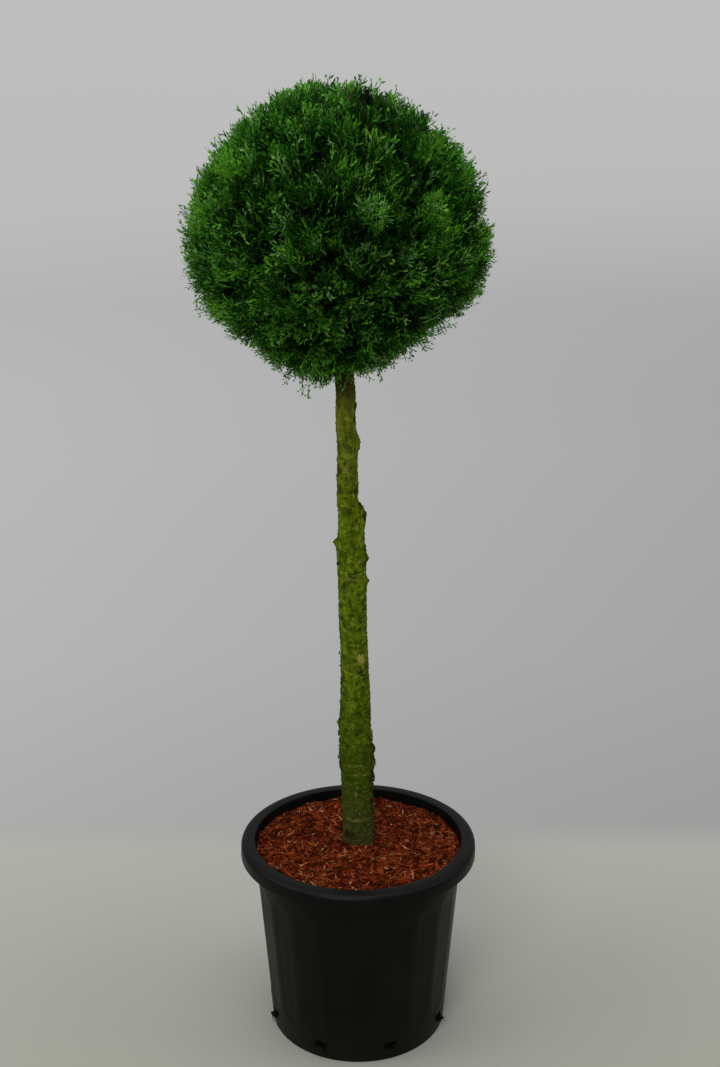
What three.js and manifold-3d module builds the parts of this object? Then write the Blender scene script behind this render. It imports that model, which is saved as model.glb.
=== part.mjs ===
// A standard ("lollipop") topiary: an evergreen with scale leaves, clipped to a ball on one clear
// trunk, in a round black nursery pot. Millimetres, +Z up. The origin is the middle of the pot's flat
// underside, -Y is the tree's front and +X is to the right of someone who faces it.
import * as THREE from "three";
import { mergeVertices } from "three/addons/utils/BufferGeometryUtils.js";
import Module from "manifold-3d";

const wasm = await Module();
wasm.setup();

// Driving dimensions of the pot.
const POT_HEIGHT = 326;
const POT_FOOT_RADIUS = 144; // outside, at the underside
const POT_DRAFT = 0.083; // growth of the outside radius for each unit of height
const POT_WALL = 2.2;
const POT_SIDES = 60;
const EDGE_ROUND = 1.5; // the small rounding of the pot's foot and of the rim's inner edge
const FLUTE_COUNT = 20;
const FLUTE_DEPTH = 2;
const FLUTE_BOTTOM = 44;
const FLUTE_TOP = 264;
const FLUTE_END = 5; // height over which a flute starts or stops
const RIB_FIRST = THREE.MathUtils.degToRad(-3); // turn of one rib between flutes from the pot's front
const RIM_RADIUS = 192; // outside of the rim's skirt, the widest line of the pot
const RIM_SKIRT_DEPTH = 24;
const RIM_SHOULDER = 4; // the rounding between the rim's flat ring and its skirt
const RIM_DRAFT = 0.5; // how much wider the skirt is at its foot than at its top
const DRAIN_COUNT = 8;
const DRAIN_WIDTH = 20;
const DRAIN_HEIGHT = 13;
const DRAIN_MIDDLE = 26.5; // height of a drain slot's middle
const DRAIN_FIRST = THREE.MathUtils.degToRad(20.5); // turn from the pot's front

// What fills the pot. Meshes that touch keep this gap.
const GAP = 0.3;
const FILL_SIDES = 40;
const MIX_TOP = 296;
const MULCH_EDGE_TOP = 311;
const MULCH_MOUND = 13; // how much higher the mulch lies against the trunk
const MULCH_ROUGHNESS = 1.6;
const MULCH_RINGS = 6;

// The trunk, from its flat cut on the potting mix to its tip inside the clipped ball. Each station
// is a height, the middle of the trunk there and its radius.
const TRUNK_STATIONS = [
  { z: MIX_TOP + GAP, x: 0, y: 0, radius: 25.5 },
  { z: 460, x: -4, y: 2, radius: 25.8 },
  { z: 620, x: -7, y: 4, radius: 22.2 },
  { z: 800, x: -10, y: 4, radius: 21.4 },
  { z: 872, x: -10.4, y: 3, radius: 20.4 }, // just under the largest removed bough
  { z: 900, x: -16.2, y: 2, radius: 16.6 }, // just above it
  { z: 1040, x: -20, y: 2, radius: 15.2 },
  { z: 1200, x: -26, y: 1, radius: 12.5 },
  { z: 1435, x: -32, y: 0, radius: 3 },
];
const TRUNK_SIDES = 14;
const TRUNK_RING_STEP = 12; // where it shows
const TRUNK_HIDDEN_STEP = 34; // inside the ball
// Healed cuts and buds that stand out of the bark. side is in degrees round the trunk from +X.
const TRUNK_KNOTS = [
  { z: 452, side: 8, rise: 3.6, tall: 16, wide: 40 },
  { z: 478, side: 355, rise: 2.6, tall: 9, wide: 30 },
  { z: 470, side: 180, rise: 3.2, tall: 18, wide: 45 },
  { z: 520, side: 176, rise: 2.2, tall: 14, wide: 40 },
  { z: 630, side: 292, rise: 2.6, tall: 11, wide: 34 },
  { z: 764, side: 4, rise: 3.8, tall: 9, wide: 34 },
  { z: 803, side: 2, rise: 3.6, tall: 13, wide: 44 },
  { z: 826, side: 182, rise: 4.6, tall: 8, wide: 30 },
  { z: 806, side: 190, rise: 2.4, tall: 15, wide: 46 },
  { z: 868, side: 10, rise: 2.6, tall: 12, wide: 40 },
  { z: 984, side: 0, rise: 3.4, tall: 11, wide: 50 },
  { z: 700, side: 96, rise: 3.0, tall: 12, wide: 40 },
  { z: 930, side: 120, rise: 2.6, tall: 10, wide: 44 },
];

// The clipped ball.
const BALL_CENTRE = new THREE.Vector3(-32, 0, 1290);
const BALL_RADIUS = 213;
const BALL_DETAIL = 11;
const BALL_ROUGHNESS = 3;
const BALL_BORE_CLEARANCE = 1;
// Where the clipped outline swells out of the sphere or stays inside it. turn is in degrees round the
// ball from +X, lift in degrees above its middle, and spread the half width of the swelling.
const BALL_SWELLINGS = [
  { turn: 0, lift: -14, rise: 14, spread: 20 },
  { turn: 180, lift: 2, rise: 12, spread: 26 },
  { turn: 184, lift: -34, rise: 9, spread: 20 },
  { turn: 2, lift: 48, rise: -8, spread: 24 },
  { turn: 350, lift: -58, rise: -7, spread: 22 },
  { turn: 178, lift: 44, rise: -6, spread: 18 },
  { turn: 96, lift: 12, rise: 6, spread: 30 },
  { turn: 248, lift: -24, rise: 4, spread: 26 },
];

// A closed indexed geometry as a manifold-3d solid.
function solidOf(geometry) {
  const bare = geometry.clone();
  bare.deleteAttribute("normal");
  bare.deleteAttribute("uv");
  const merged = mergeVertices(bare, 1e-4);
  return new wasm.Manifold(
    new wasm.Mesh({
      numProp: 3,
      vertProperties: merged.attributes.position.array,
      triVerts: new Uint32Array(merged.index.array),
    }),
  );
}

function geometryOf(solid) {
  const mesh = solid.getMesh();
  const geometry = new THREE.BufferGeometry();
  geometry.setAttribute("position", new THREE.BufferAttribute(mesh.vertProperties, mesh.numProp));
  geometry.setIndex(new THREE.BufferAttribute(mesh.triVerts, 1));
  geometry.computeVertexNormals();
  return geometry;
}

// A closed skin over a stack of rings that all have the same number of points, anticlockwise from
// above and the lowest ring first. Each end is closed by a fan to the middle of its ring.
function skinOverRings(rings) {
  const sides = rings[0].length;
  const middles = [rings[0], rings.at(-1)].map((ring) =>
    ring.reduce((sum, p) => sum.add(p), new THREE.Vector3()).divideScalar(sides),
  );
  const points = [...rings.flat(), ...middles];
  const top = (rings.length - 1) * sides;
  const index = [];
  for (let side = 0; side < sides; side += 1) {
    const next = (side + 1) % sides;
    for (let low = 0; low < top; low += sides) {
      const high = low + sides;
      index.push(low + side, low + next, high + next, low + side, high + next, high + side);
    }
    index.push(next, side, points.length - 2, top + side, top + next, points.length - 1);
  }
  return new THREE.BufferGeometry().setFromPoints(points).setIndex(index);
}

// A smooth pseudo-random value from -1 to 1 that depends only on the place.
function ripple(x, y, z) {
  const a = Math.sin(1.7 * x + 2.9 * y - 1.3 * z + 0.4);
  const b = Math.sin(3.1 * y - 2.3 * x + 2.1 * z + 1.9);
  const c = Math.sin(4.3 * z + 3.7 * x + 1.1 * y + 3.3);
  return (a + b + c) / 3;
}

// Pot ---------------------------------------------------------------------------------------------

const potRadius = (z) => POT_FOOT_RADIUS + POT_DRAFT * z;

// How far the outside wall is set back at a height and a turn: shallow flutes with round-cornered
// tops between ribs, each flute and its rib taking an equal share of the turn.
function fluteDepth(z, turn) {
  const fromRib = turn + Math.PI / 2 - RIB_FIRST;
  const across = 0.5 - 0.5 * Math.cos(fromRib * FLUTE_COUNT);
  const inside = z > FLUTE_BOTTOM + 1 && z < FLUTE_TOP - 1;
  return inside ? FLUTE_DEPTH * Math.min(1, 1.6 * across) : 0;
}

// A ring or a cup turned from a closed profile of [radius, height] points that runs anticlockwise
// in the plane with the radius to the right and the height up.
function turned(profile) {
  const points = profile.map(([radius, z]) => new THREE.Vector2(radius, z));
  return new THREE.LatheGeometry(points, POT_SIDES).rotateX(Math.PI / 2).rotateZ(RIB_FIRST);
}

// The wall and the floor, up to the gap under the rim's ring.
function potSolid() {
  const top = POT_HEIGHT - POT_WALL - GAP;
  const lathe = turned([
    [0, 0],
    [potRadius(0) - EDGE_ROUND, 0],
    [potRadius(EDGE_ROUND), EDGE_ROUND],
    [potRadius(FLUTE_BOTTOM), FLUTE_BOTTOM],
    [potRadius(FLUTE_BOTTOM + FLUTE_END), FLUTE_BOTTOM + FLUTE_END],
    [potRadius(FLUTE_TOP - FLUTE_END), FLUTE_TOP - FLUTE_END],
    [potRadius(FLUTE_TOP), FLUTE_TOP],
    [potRadius(top), top],
    [potRadius(top) - POT_WALL, top],
    [potRadius(2 * POT_WALL) - POT_WALL, 2 * POT_WALL],
    [potRadius(0) - 2 * POT_WALL, POT_WALL],
    [0, POT_WALL],
  ]);
  const places = lathe.getAttribute("position");
  for (let i = 0; i < places.count; i += 1) {
    const [x, y, z] = [places.getX(i), places.getY(i), places.getZ(i)];
    const radius = Math.hypot(x, y);
    const onOutside = radius > potRadius(z) - 0.5 * POT_WALL;
    const share = onOutside ? (radius - fluteDepth(z, Math.atan2(y, x))) / radius : 1;
    places.setXY(i, x * share, y * share);
  }
  return Array.from({ length: DRAIN_COUNT }, (_, slot) => {
    const turn = DRAIN_FIRST - Math.PI / 2 + (slot * 2 * Math.PI) / DRAIN_COUNT;
    const cutter = new THREE.BoxGeometry(8 * POT_WALL, DRAIN_WIDTH, DRAIN_HEIGHT);
    return cutter.translate(potRadius(DRAIN_MIDDLE), 0, DRAIN_MIDDLE).rotateZ(turn);
  }).reduce((pot, cutter) => pot.subtract(solidOf(cutter)), solidOf(lathe));
}

// The flat ring on the wall's top, rounded over at its outer edge.
function rimSolid() {
  const under = POT_HEIGHT - POT_WALL;
  const inner = potRadius(POT_HEIGHT) - POT_WALL;
  const profile = [
    [inner, under],
    [RIM_RADIUS - POT_WALL - RIM_SHOULDER, under],
    [RIM_RADIUS - POT_WALL, POT_HEIGHT - RIM_SHOULDER],
    [RIM_RADIUS - RIM_DRAFT, POT_HEIGHT - RIM_SHOULDER],
    [RIM_RADIUS - RIM_DRAFT - 0.3 * RIM_SHOULDER, POT_HEIGHT - 0.3 * RIM_SHOULDER],
    [RIM_RADIUS - RIM_DRAFT - RIM_SHOULDER, POT_HEIGHT],
    [inner + EDGE_ROUND, POT_HEIGHT],
    [inner, POT_HEIGHT - EDGE_ROUND],
  ];
  return solidOf(turned([...profile, profile[0]]));
}

// The skirt that hangs from the rim's outer edge, clear of the wall, so that fingers fit behind it.
function skirtSolid() {
  const foot = POT_HEIGHT - RIM_SKIRT_DEPTH;
  const top = POT_HEIGHT - RIM_SHOULDER - GAP;
  const profile = [
    [RIM_RADIUS - POT_WALL, foot],
    [RIM_RADIUS, foot],
    [RIM_RADIUS - RIM_DRAFT, top],
    [RIM_RADIUS - RIM_DRAFT - POT_WALL, top],
  ];
  return solidOf(turned([...profile, profile[0]]));
}

// What fills the pot --------------------------------------------------------------------------------

function ringOfPoints(radius, z, sides) {
  return Array.from({ length: sides }, (_, side) => {
    const turn = (side * 2 * Math.PI) / sides;
    return new THREE.Vector3(radius * Math.cos(turn), radius * Math.sin(turn), z);
  });
}

// The fill stays inside the pot's wall although both are many-sided.
const fillRadius = (z) => (potRadius(z) - POT_WALL - GAP) * Math.cos(Math.PI / POT_SIDES);

function mixSolid() {
  const foot = POT_WALL + GAP;
  const rings = [
    ringOfPoints(potRadius(0) - 2 * POT_WALL - 2 * GAP, foot, FILL_SIDES),
    ringOfPoints(fillRadius(2 * POT_WALL) - GAP, foot + 2 * POT_WALL, FILL_SIDES),
    ringOfPoints(fillRadius(MIX_TOP), MIX_TOP, FILL_SIDES),
  ];
  return solidOf(skinOverRings(rings));
}

// The bark mulch, a loose layer that is mounded a little against the trunk.
function mulchSolid() {
  const foot = MIX_TOP + GAP;
  const edge = fillRadius(foot);
  const rings = [ringOfPoints(edge, foot, FILL_SIDES)];
  for (let ring = MULCH_RINGS; ring > 0; ring -= 1) {
    const share = ring / MULCH_RINGS;
    const points = ringOfPoints(edge * share, MULCH_EDGE_TOP, FILL_SIDES);
    const mound = MULCH_MOUND * (1 - share) ** 1.2;
    points.forEach((p) => (p.z += mound + MULCH_ROUGHNESS * ripple(p.x / 14, p.y / 14, ring)));
    rings.push(points);
  }
  return solidOf(skinOverRings(rings)).subtract(trunkSolid(GAP, foot - 10));
}

// Trunk ---------------------------------------------------------------------------------------------

// The trunk's middle and radius at a height, eased between its stations.
function trunkAt(z) {
  const found = TRUNK_STATIONS.findIndex((station) => station.z > z);
  const upper = found < 0 ? TRUNK_STATIONS.length - 1 : Math.max(found, 1);
  const [a, b] = [TRUNK_STATIONS[upper - 1], TRUNK_STATIONS[upper]];
  const share = THREE.MathUtils.clamp((z - a.z) / (b.z - a.z), 0, 1);
  const eased = upper > TRUNK_STATIONS.length - 3 ? share : THREE.MathUtils.smoothstep(share, 0, 1);
  return {
    x: THREE.MathUtils.lerp(a.x, b.x, share),
    y: THREE.MathUtils.lerp(a.y, b.y, share),
    radius: THREE.MathUtils.lerp(a.radius, b.radius, eased),
  };
}

// How far the knots push the bark out at a height and a turn.
function knotRise(z, turn) {
  return TRUNK_KNOTS.reduce((sum, knot) => {
    const off = turn - THREE.MathUtils.degToRad(knot.side);
    const across = Math.atan2(Math.sin(off), Math.cos(off)) / THREE.MathUtils.degToRad(knot.wide);
    const along = (z - knot.z) / knot.tall;
    return sum + knot.rise * Math.exp(-across * across - along * along);
  }, 0);
}

// Heights of the trunk's rings: close together where it shows, further apart inside the ball.
function ringHeights(foot, tip) {
  const entry = BALL_CENTRE.z - 0.95 * BALL_RADIUS;
  const evenly = (from, to, step) => {
    const count = Math.ceil((to - from) / step);
    return Array.from({ length: count }, (_, ring) => from + ((to - from) * ring) / count);
  };
  const shown = foot < entry ? evenly(foot, entry, TRUNK_RING_STEP) : [];
  return [...shown, ...evenly(Math.max(foot, entry), tip, TRUNK_HIDDEN_STEP), tip];
}

// The trunk as one tapering limb, grown on every side by extra, from the height foot up.
function trunkSolid(extra, foot) {
  const tip = TRUNK_STATIONS.at(-1).z + extra;
  const rings = ringHeights(foot, tip).map((z) => {
    const middle = trunkAt(z);
    const points = ringOfPoints(1, z, TRUNK_SIDES);
    for (const p of points) {
      const turn = Math.atan2(p.y, p.x);
      const lobes = 1 + 0.025 * Math.sin(2 * turn + z / 90) + 0.015 * Math.sin(3 * turn - z / 50);
      const radius = middle.radius * lobes + knotRise(z, turn) + extra;
      p.set(middle.x + radius * Math.cos(turn), middle.y + radius * Math.sin(turn), z);
    }
    return points;
  });
  return solidOf(skinOverRings(rings));
}

// Clipped ball --------------------------------------------------------------------------------------

const directionOf = ({ turn, lift }) =>
  new THREE.Vector3().setFromSphericalCoords(
    1,
    THREE.MathUtils.degToRad(90 - lift),
    THREE.MathUtils.degToRad(turn),
  );

// The ball's radius in a direction: the clipped sphere, its swellings and a slight unevenness.
function ballRadius(direction) {
  const swelling = BALL_SWELLINGS.reduce((sum, part) => {
    const { x, y, z } = directionOf(part); // spherical coordinates here have +Y up and turn from +Z
    const away = direction.angleTo(new THREE.Vector3(z, x, y));
    const share = away / THREE.MathUtils.degToRad(part.spread);
    return sum + part.rise * Math.exp(-share * share);
  }, 0);
  const { x, y, z } = direction;
  return BALL_RADIUS + swelling + BALL_ROUGHNESS * ripple(4 * x, 4 * y, 4 * z);
}

function ballSolid() {
  const ball = new THREE.IcosahedronGeometry(1, BALL_DETAIL);
  const places = ball.getAttribute("position");
  const direction = new THREE.Vector3();
  for (let i = 0; i < places.count; i += 1) {
    direction.fromBufferAttribute(places, i).normalize();
    const radius = ballRadius(direction);
    places.setXYZ(i, ...direction.multiplyScalar(radius).add(BALL_CENTRE).toArray());
  }
  const below = BALL_CENTRE.z - 1.3 * BALL_RADIUS;
  return solidOf(ball).subtract(trunkSolid(BALL_BORE_CLEARANCE, below));
}

// Assembly --------------------------------------------------------------------------------------------

const plastic = { color: 0x1b1d1b, roughness: 0.5, metalness: 0 };
const peat = { color: 0x2b1b12, roughness: 1, metalness: 0 };
const bark = { color: 0x7a3318, roughness: 0.95, metalness: 0 };
const greenBark = { color: 0x4c5c12, roughness: 0.85, metalness: 0 };
const leaves = { color: 0x1f4a0e, roughness: 0.7, metalness: 0 };

function named(name, solid, finish) {
  const mesh = new THREE.Mesh(geometryOf(solid), new THREE.MeshStandardMaterial(finish));
  mesh.name = name;
  return mesh;
}

const topiary = new THREE.Group();
topiary.add(
  named("pot", potSolid(), plastic),
  named("pot_rim", rimSolid(), plastic),
  named("pot_rim_skirt", skirtSolid(), plastic),
  named("potting_mix", mixSolid(), peat),
  named("bark_mulch", mulchSolid(), bark),
  named("trunk", trunkSolid(0, TRUNK_STATIONS[0].z), greenBark),
  named("foliage_ball", ballSolid(), leaves),
);

export default topiary;
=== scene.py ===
"""A standard ("lollipop") topiary: an evergreen clipped to a ball on one clear trunk, in a nursery pot.

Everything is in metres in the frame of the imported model: +Z is up, the front of the tree looks along
-Y, and the origin is the middle of the pot's flat underside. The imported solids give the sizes: the pot
is turned again with its mouldings, the trunk gets its bark, and the ball is grown as boughs, twigs and
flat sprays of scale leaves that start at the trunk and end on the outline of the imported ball.
"""
from __future__ import annotations

import logging
import math
from dataclasses import dataclass, field
from enum import Enum

import bpy
import numpy as np
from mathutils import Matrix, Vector


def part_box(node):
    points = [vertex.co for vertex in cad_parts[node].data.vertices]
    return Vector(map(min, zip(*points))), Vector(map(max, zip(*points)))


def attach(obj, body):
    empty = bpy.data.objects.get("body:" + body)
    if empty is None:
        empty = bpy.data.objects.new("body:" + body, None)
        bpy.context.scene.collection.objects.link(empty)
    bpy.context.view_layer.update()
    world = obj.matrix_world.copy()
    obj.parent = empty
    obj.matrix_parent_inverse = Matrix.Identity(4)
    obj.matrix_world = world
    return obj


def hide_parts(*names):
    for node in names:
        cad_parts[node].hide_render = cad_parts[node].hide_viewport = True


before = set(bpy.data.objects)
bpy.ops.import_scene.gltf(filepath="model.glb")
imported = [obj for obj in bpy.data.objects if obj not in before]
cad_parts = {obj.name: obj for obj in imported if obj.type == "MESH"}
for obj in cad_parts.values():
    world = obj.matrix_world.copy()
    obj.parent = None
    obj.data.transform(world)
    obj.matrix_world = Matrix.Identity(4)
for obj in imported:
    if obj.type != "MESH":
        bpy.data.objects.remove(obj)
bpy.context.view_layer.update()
BODY = "root"
MM = 0.001
UP = np.array([0.0, 0.0, 1.0])
GOLDEN_TURN = math.pi * (3 - math.sqrt(5))
PIECE_TRIANGLES = 190_000
BLOCK = 2000

log = logging.getLogger("topiary")


# Numbers ------------------------------------------------------------------------------------------


def lattice_noise(points: np.ndarray, seed: int) -> np.ndarray:
    """Value noise: a random value at each whole-numbered place, eased between them.

    Args:
        points: (n, 3) places, one lattice cell to a unit.
        seed: picks another field of values.

    Returns:
        (n,) values from -1 to 1.
    """
    cell = np.floor(points).astype(np.int64)
    share = points - cell
    share = share**3 * (share * (share * 6 - 15) + 10)
    total = np.zeros(len(points))
    for corner in np.ndindex(2, 2, 2):
        place = cell + np.array(corner)
        key = place[:, 0] * 374761393 + place[:, 1] * 668265263 + place[:, 2] * 1274126177
        key = (key + seed * 974634777) & 0xFFFFFFFF
        key = ((key ^ (key >> 13)) * 1274126177) & 0xFFFFFFFF
        value = (key ^ (key >> 16)) / 0x7FFFFFFF - 1
        weight = np.where(np.array(corner) == 1, share, 1 - share).prod(axis=1)
        total += weight * value
    return total


def layered_noise(points: np.ndarray, octaves: int, seed: int) -> np.ndarray:
    """Value noise summed over octaves, each twice as fine and half as strong as the last.

    Args:
        points: (n, 3) places, one cell of the coarsest octave to a unit.
        octaves: how many layers are summed.
        seed: picks another field of values.

    Returns:
        (n,) values, mostly from -1 to 1.
    """
    layers = [lattice_noise(points * 2**k + 17.3 * k, seed + k) / 2**k for k in range(octaves)]
    return np.sum(layers, axis=0)


def ease(low: float, high: float, value: np.ndarray) -> np.ndarray:
    """The smooth step from 0 at low to 1 at high."""
    share = np.clip((value - low) / (high - low), 0, 1)
    return share * share * (3 - 2 * share)


def unit(vectors: np.ndarray) -> np.ndarray:
    """Vectors scaled to length 1 along the last axis."""
    return vectors / np.maximum(np.linalg.norm(vectors, axis=-1, keepdims=True), 1e-12)


def quadratic(start: np.ndarray, bend: np.ndarray, end: np.ndarray, t: np.ndarray) -> np.ndarray:
    """Points at shares t of a curve from start to end that is drawn towards bend."""
    return (1 - t) ** 2 * start + 2 * t * (1 - t) * bend + t**2 * end


def aimed(turn: np.ndarray | float, lift: np.ndarray | float) -> np.ndarray:
    """Unit vectors at a turn from +X round +Z and a lift above level, both in degrees."""
    turn, lift = np.radians(turn), np.radians(lift)
    return np.stack([np.cos(lift) * np.cos(turn), np.cos(lift) * np.sin(turn), np.sin(lift)], axis=-1)


def packed_vertices(node: str) -> np.ndarray:
    """The (n, 3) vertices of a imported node, each once."""
    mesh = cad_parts[node].data
    places = np.empty(len(mesh.vertices) * 3)
    mesh.vertices.foreach_get("co", places)
    return np.unique(np.round(places.reshape(-1, 3), 6), axis=0)


def even_directions(count: int, jitter: float, rng: np.random.Generator) -> np.ndarray:
    """Directions spread evenly over a sphere by the golden turn, each moved a little at random.

    Args:
        count: how many directions.
        jitter: size of the random move, as a share of the spacing.
        rng: the source of the moves.

    Returns:
        (count, 3) unit vectors.
    """
    step = np.arange(count) + 0.5
    height = 1 - 2 * step / count
    radius = np.sqrt(1 - height**2)
    turn = step * GOLDEN_TURN
    places = np.stack([radius * np.cos(turn), radius * np.sin(turn), height], axis=1)
    spacing = math.sqrt(4 * math.pi / count)
    return unit(places + rng.normal(0, jitter * spacing, (count, 3)))


def nearest(places: np.ndarray, targets: np.ndarray) -> np.ndarray:
    """For each place, the index of the nearest target.

    Args:
        places: (n, 3) places.
        targets: (m, 3) places to choose from.

    Returns:
        (n,) indices into targets.
    """
    found = []
    squares = (targets**2).sum(axis=1)
    for start in range(0, len(places), BLOCK):
        part = places[start : start + BLOCK]
        found.append((squares - 2 * part @ targets.T).argmin(axis=1))
    return np.concatenate(found)


# Meshes -------------------------------------------------------------------------------------------


@dataclass
class Skin:
    """Vertices and polygons that are on their way to becoming one mesh."""

    vertices: np.ndarray
    polygons: list[np.ndarray]

    def triangles(self) -> int:
        """How many triangles the polygons come to."""
        return sum(len(block) * (block.shape[1] - 2) for block in self.polygons)


def joined(skins: list[Skin]) -> Skin:
    """Several skins as one, their polygons renumbered."""
    starts = np.cumsum([0] + [len(skin.vertices) for skin in skins])
    polygons = [block + start for skin, start in zip(skins, starts) for block in skin.polygons]
    return Skin(np.concatenate([skin.vertices for skin in skins]), polygons)


def grid_quads(rows: int, columns: int, wrap: bool) -> np.ndarray:
    """Quads over a grid of rows by columns, facing the side from which columns run anticlockwise.

    Args:
        rows: number of rows of vertices.
        columns: number of vertices in a row.
        wrap: whether the last column meets the first.

    Returns:
        (n, 4) vertex indices, row by row.
    """
    row = np.arange(rows - 1)[:, None] * columns
    column = np.arange(columns if wrap else columns - 1)[None, :]
    after = (column + 1) % columns
    quads = [row + column, row + after, row + columns + after, row + columns + column]
    return np.stack(quads, axis=-1).reshape(-1, 4)


def make_piece(
    name: str, skin: Skin, material: bpy.types.Material, smooth: bool
) -> bpy.types.Object:
    """Puts a skin into a new object at the origin that rides on the plant's one body.

    Args:
        name: the piece's name.
        skin: its vertices and polygons.
        material: its finish.
        smooth: whether its faces are shaded smooth.

    Returns:
        The object.
    """
    mesh = bpy.data.meshes.new(name)
    counts = np.concatenate([np.full(len(block), block.shape[1]) for block in skin.polygons])
    corners = np.concatenate([block.ravel() for block in skin.polygons])
    mesh.vertices.add(len(skin.vertices))
    mesh.vertices.foreach_set("co", skin.vertices.astype(np.float32).ravel())
    mesh.loops.add(len(corners))
    mesh.loops.foreach_set("vertex_index", corners.astype(np.int32))
    mesh.polygons.add(len(counts))
    starts = np.concatenate([[0], np.cumsum(counts)[:-1]])
    mesh.polygons.foreach_set("loop_start", starts.astype(np.int32))
    mesh.polygons.foreach_set("use_smooth", np.full(len(counts), smooth))
    mesh.materials.append(material)
    mesh.update(calc_edges=True)
    piece = bpy.data.objects.new(name, mesh)
    bpy.context.scene.collection.objects.link(piece)
    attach(piece, BODY)
    log.info("%s: %d triangles", name, skin.triangles())
    return piece


def add_values(piece: bpy.types.Object, name: str, values: np.ndarray) -> None:
    """Stores one number for each vertex, for a material to read by name."""
    attribute = piece.data.attributes.new(name, "FLOAT", "POINT")
    attribute.data.foreach_set("value", values.astype(np.float32))


def tapered_limbs(paths: np.ndarray, radii: np.ndarray, sides: int) -> Skin:
    """Round tapering tubes: at each point of a path, a ring across the path's direction.

    A ring is radius * (cos t * a + sin t * b), where a and b are at right angles to the direction.

    Args:
        paths: (limbs, points, 3) the middle lines.
        radii: (limbs, points) the radius at each point.
        sides: vertices in a ring.

    Returns:
        The tubes as one skin, both ends of each closed.
    """
    limbs, points, _ = paths.shape
    along = unit(np.gradient(paths, axis=1))
    helper = np.where(np.abs(along[:, :1, 2:]) > 0.9, np.array([1.0, 0, 0]), UP)
    across = unit(np.cross(along, helper))
    other = np.cross(along, across)
    turn = np.arange(sides) * 2 * math.pi / sides
    ring = np.cos(turn)[:, None] * across[:, :, None] + np.sin(turn)[:, None] * other[:, :, None]
    vertices = paths[:, :, None] + radii[:, :, None, None] * ring
    size = points * sides
    starts = (np.arange(limbs) * size)[:, None, None]
    quads = (grid_quads(points, sides, wrap=True)[None] + starts).reshape(-1, 4)
    base = np.arange(sides)[::-1][None] + starts[:, 0]
    tip = np.arange(sides)[None] + starts[:, 0] + size - sides
    return Skin(vertices.reshape(-1, 3), [quads, np.concatenate([base, tip])])


@dataclass
class Slivers:
    """Chips and flakes of bark: where each lies, which way it points and faces, and its sizes."""

    centre: np.ndarray
    along: np.ndarray
    side: np.ndarray
    length: np.ndarray
    width: np.ndarray
    thickness: np.ndarray
    arc: np.ndarray

    def skin(self) -> Skin:
        """Closed slivers of three bays each, whose middle lines are shallow arcs and whose ends taper.

        A ring of four corners stands at each of four stations: the station times the length along,
        less 2 * arc * length * station squared across, plus or minus half the width and thickness there.
        """
        stations = np.array([-0.5, -0.22, 0.2, 0.5])
        fullness = np.array([0.35, 1.0, 0.9, 0.25])
        up = np.cross(self.along, self.side)
        path = self.centre[:, None] + self.along[:, None] * (stations * self.length[:, None])[..., None]
        path = path - self.side[:, None] * (2 * stations**2 * (self.arc * self.length)[:, None])[..., None]
        a = self.side[:, None] * (self.width[:, None] * fullness / 2)[..., None]
        b = up[:, None] * (self.thickness[:, None] * fullness / 2)[..., None]
        rings = np.stack([path - a - b, path + a - b, path + a + b, path - a + b], axis=2)
        starts = (np.arange(len(rings)) * 16)[:, None, None]
        quads = (grid_quads(4, 4, wrap=True)[None] + starts).reshape(-1, 4)
        caps = (np.array([[3, 2, 1, 0], [12, 13, 14, 15]])[None] + starts).reshape(-1, 4)
        return Skin(rings.reshape(-1, 3), [quads, caps])


# Materials ----------------------------------------------------------------------------------------


def srgb(red: int, green: int, blue: int) -> tuple[float, float, float, float]:
    """A colour given as screen values from 0 to 255, as linear light with full alpha."""
    screen = np.array([red, green, blue]) / 255
    light = np.where(screen <= 0.04045, screen / 12.92, ((screen + 0.055) / 1.055) ** 2.4)
    return (float(light[0]), float(light[1]), float(light[2]), 1.0)


class Nodes:
    """A node tree with short ways to add and join nodes."""

    def __init__(self, tree: bpy.types.NodeTree) -> None:
        """Takes the tree that the nodes go into."""
        self.tree = tree

    def add(self, kind: str, values: dict | None = None, **settings: object) -> bpy.types.Node:
        """Adds a node.

        Args:
            kind: the node's type, without its ShaderNode prefix.
            values: socket name or index to a constant or to another node's output socket.
            settings: the node's own properties.

        Returns:
            The node.
        """
        node = self.tree.nodes.new("ShaderNode" + kind)
        for key, value in settings.items():
            setattr(node, key, value)
        for key, value in (values or {}).items():
            self.feed(node.inputs[key], value)
        return node

    def feed(self, socket: bpy.types.NodeSocket, value: object) -> None:
        """Links an output to a socket, or sets the socket to a constant."""
        if isinstance(value, bpy.types.NodeSocket):
            self.tree.links.new(value, socket)
        else:
            socket.default_value = value

    def ramp(self, value: bpy.types.NodeSocket, low: float, high: float) -> bpy.types.NodeSocket:
        """A value spread so that low becomes 0 and high becomes 1, clamped."""
        return self.add("MapRange", {"Value": value, "From Min": low, "From Max": high}).outputs["Result"]

    def maths(self, operation: str, first: object, second: object) -> bpy.types.NodeSocket:
        """The result of an operation on two values."""
        return self.add("Math", {0: first, 1: second}, operation=operation).outputs["Value"]

    def times(self, first: object, second: object) -> bpy.types.NodeSocket:
        """The product of two values."""
        return self.maths("MULTIPLY", first, second)

    def plus(self, first: object, second: object) -> bpy.types.NodeSocket:
        """The sum of two values."""
        return self.maths("ADD", first, second)


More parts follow.
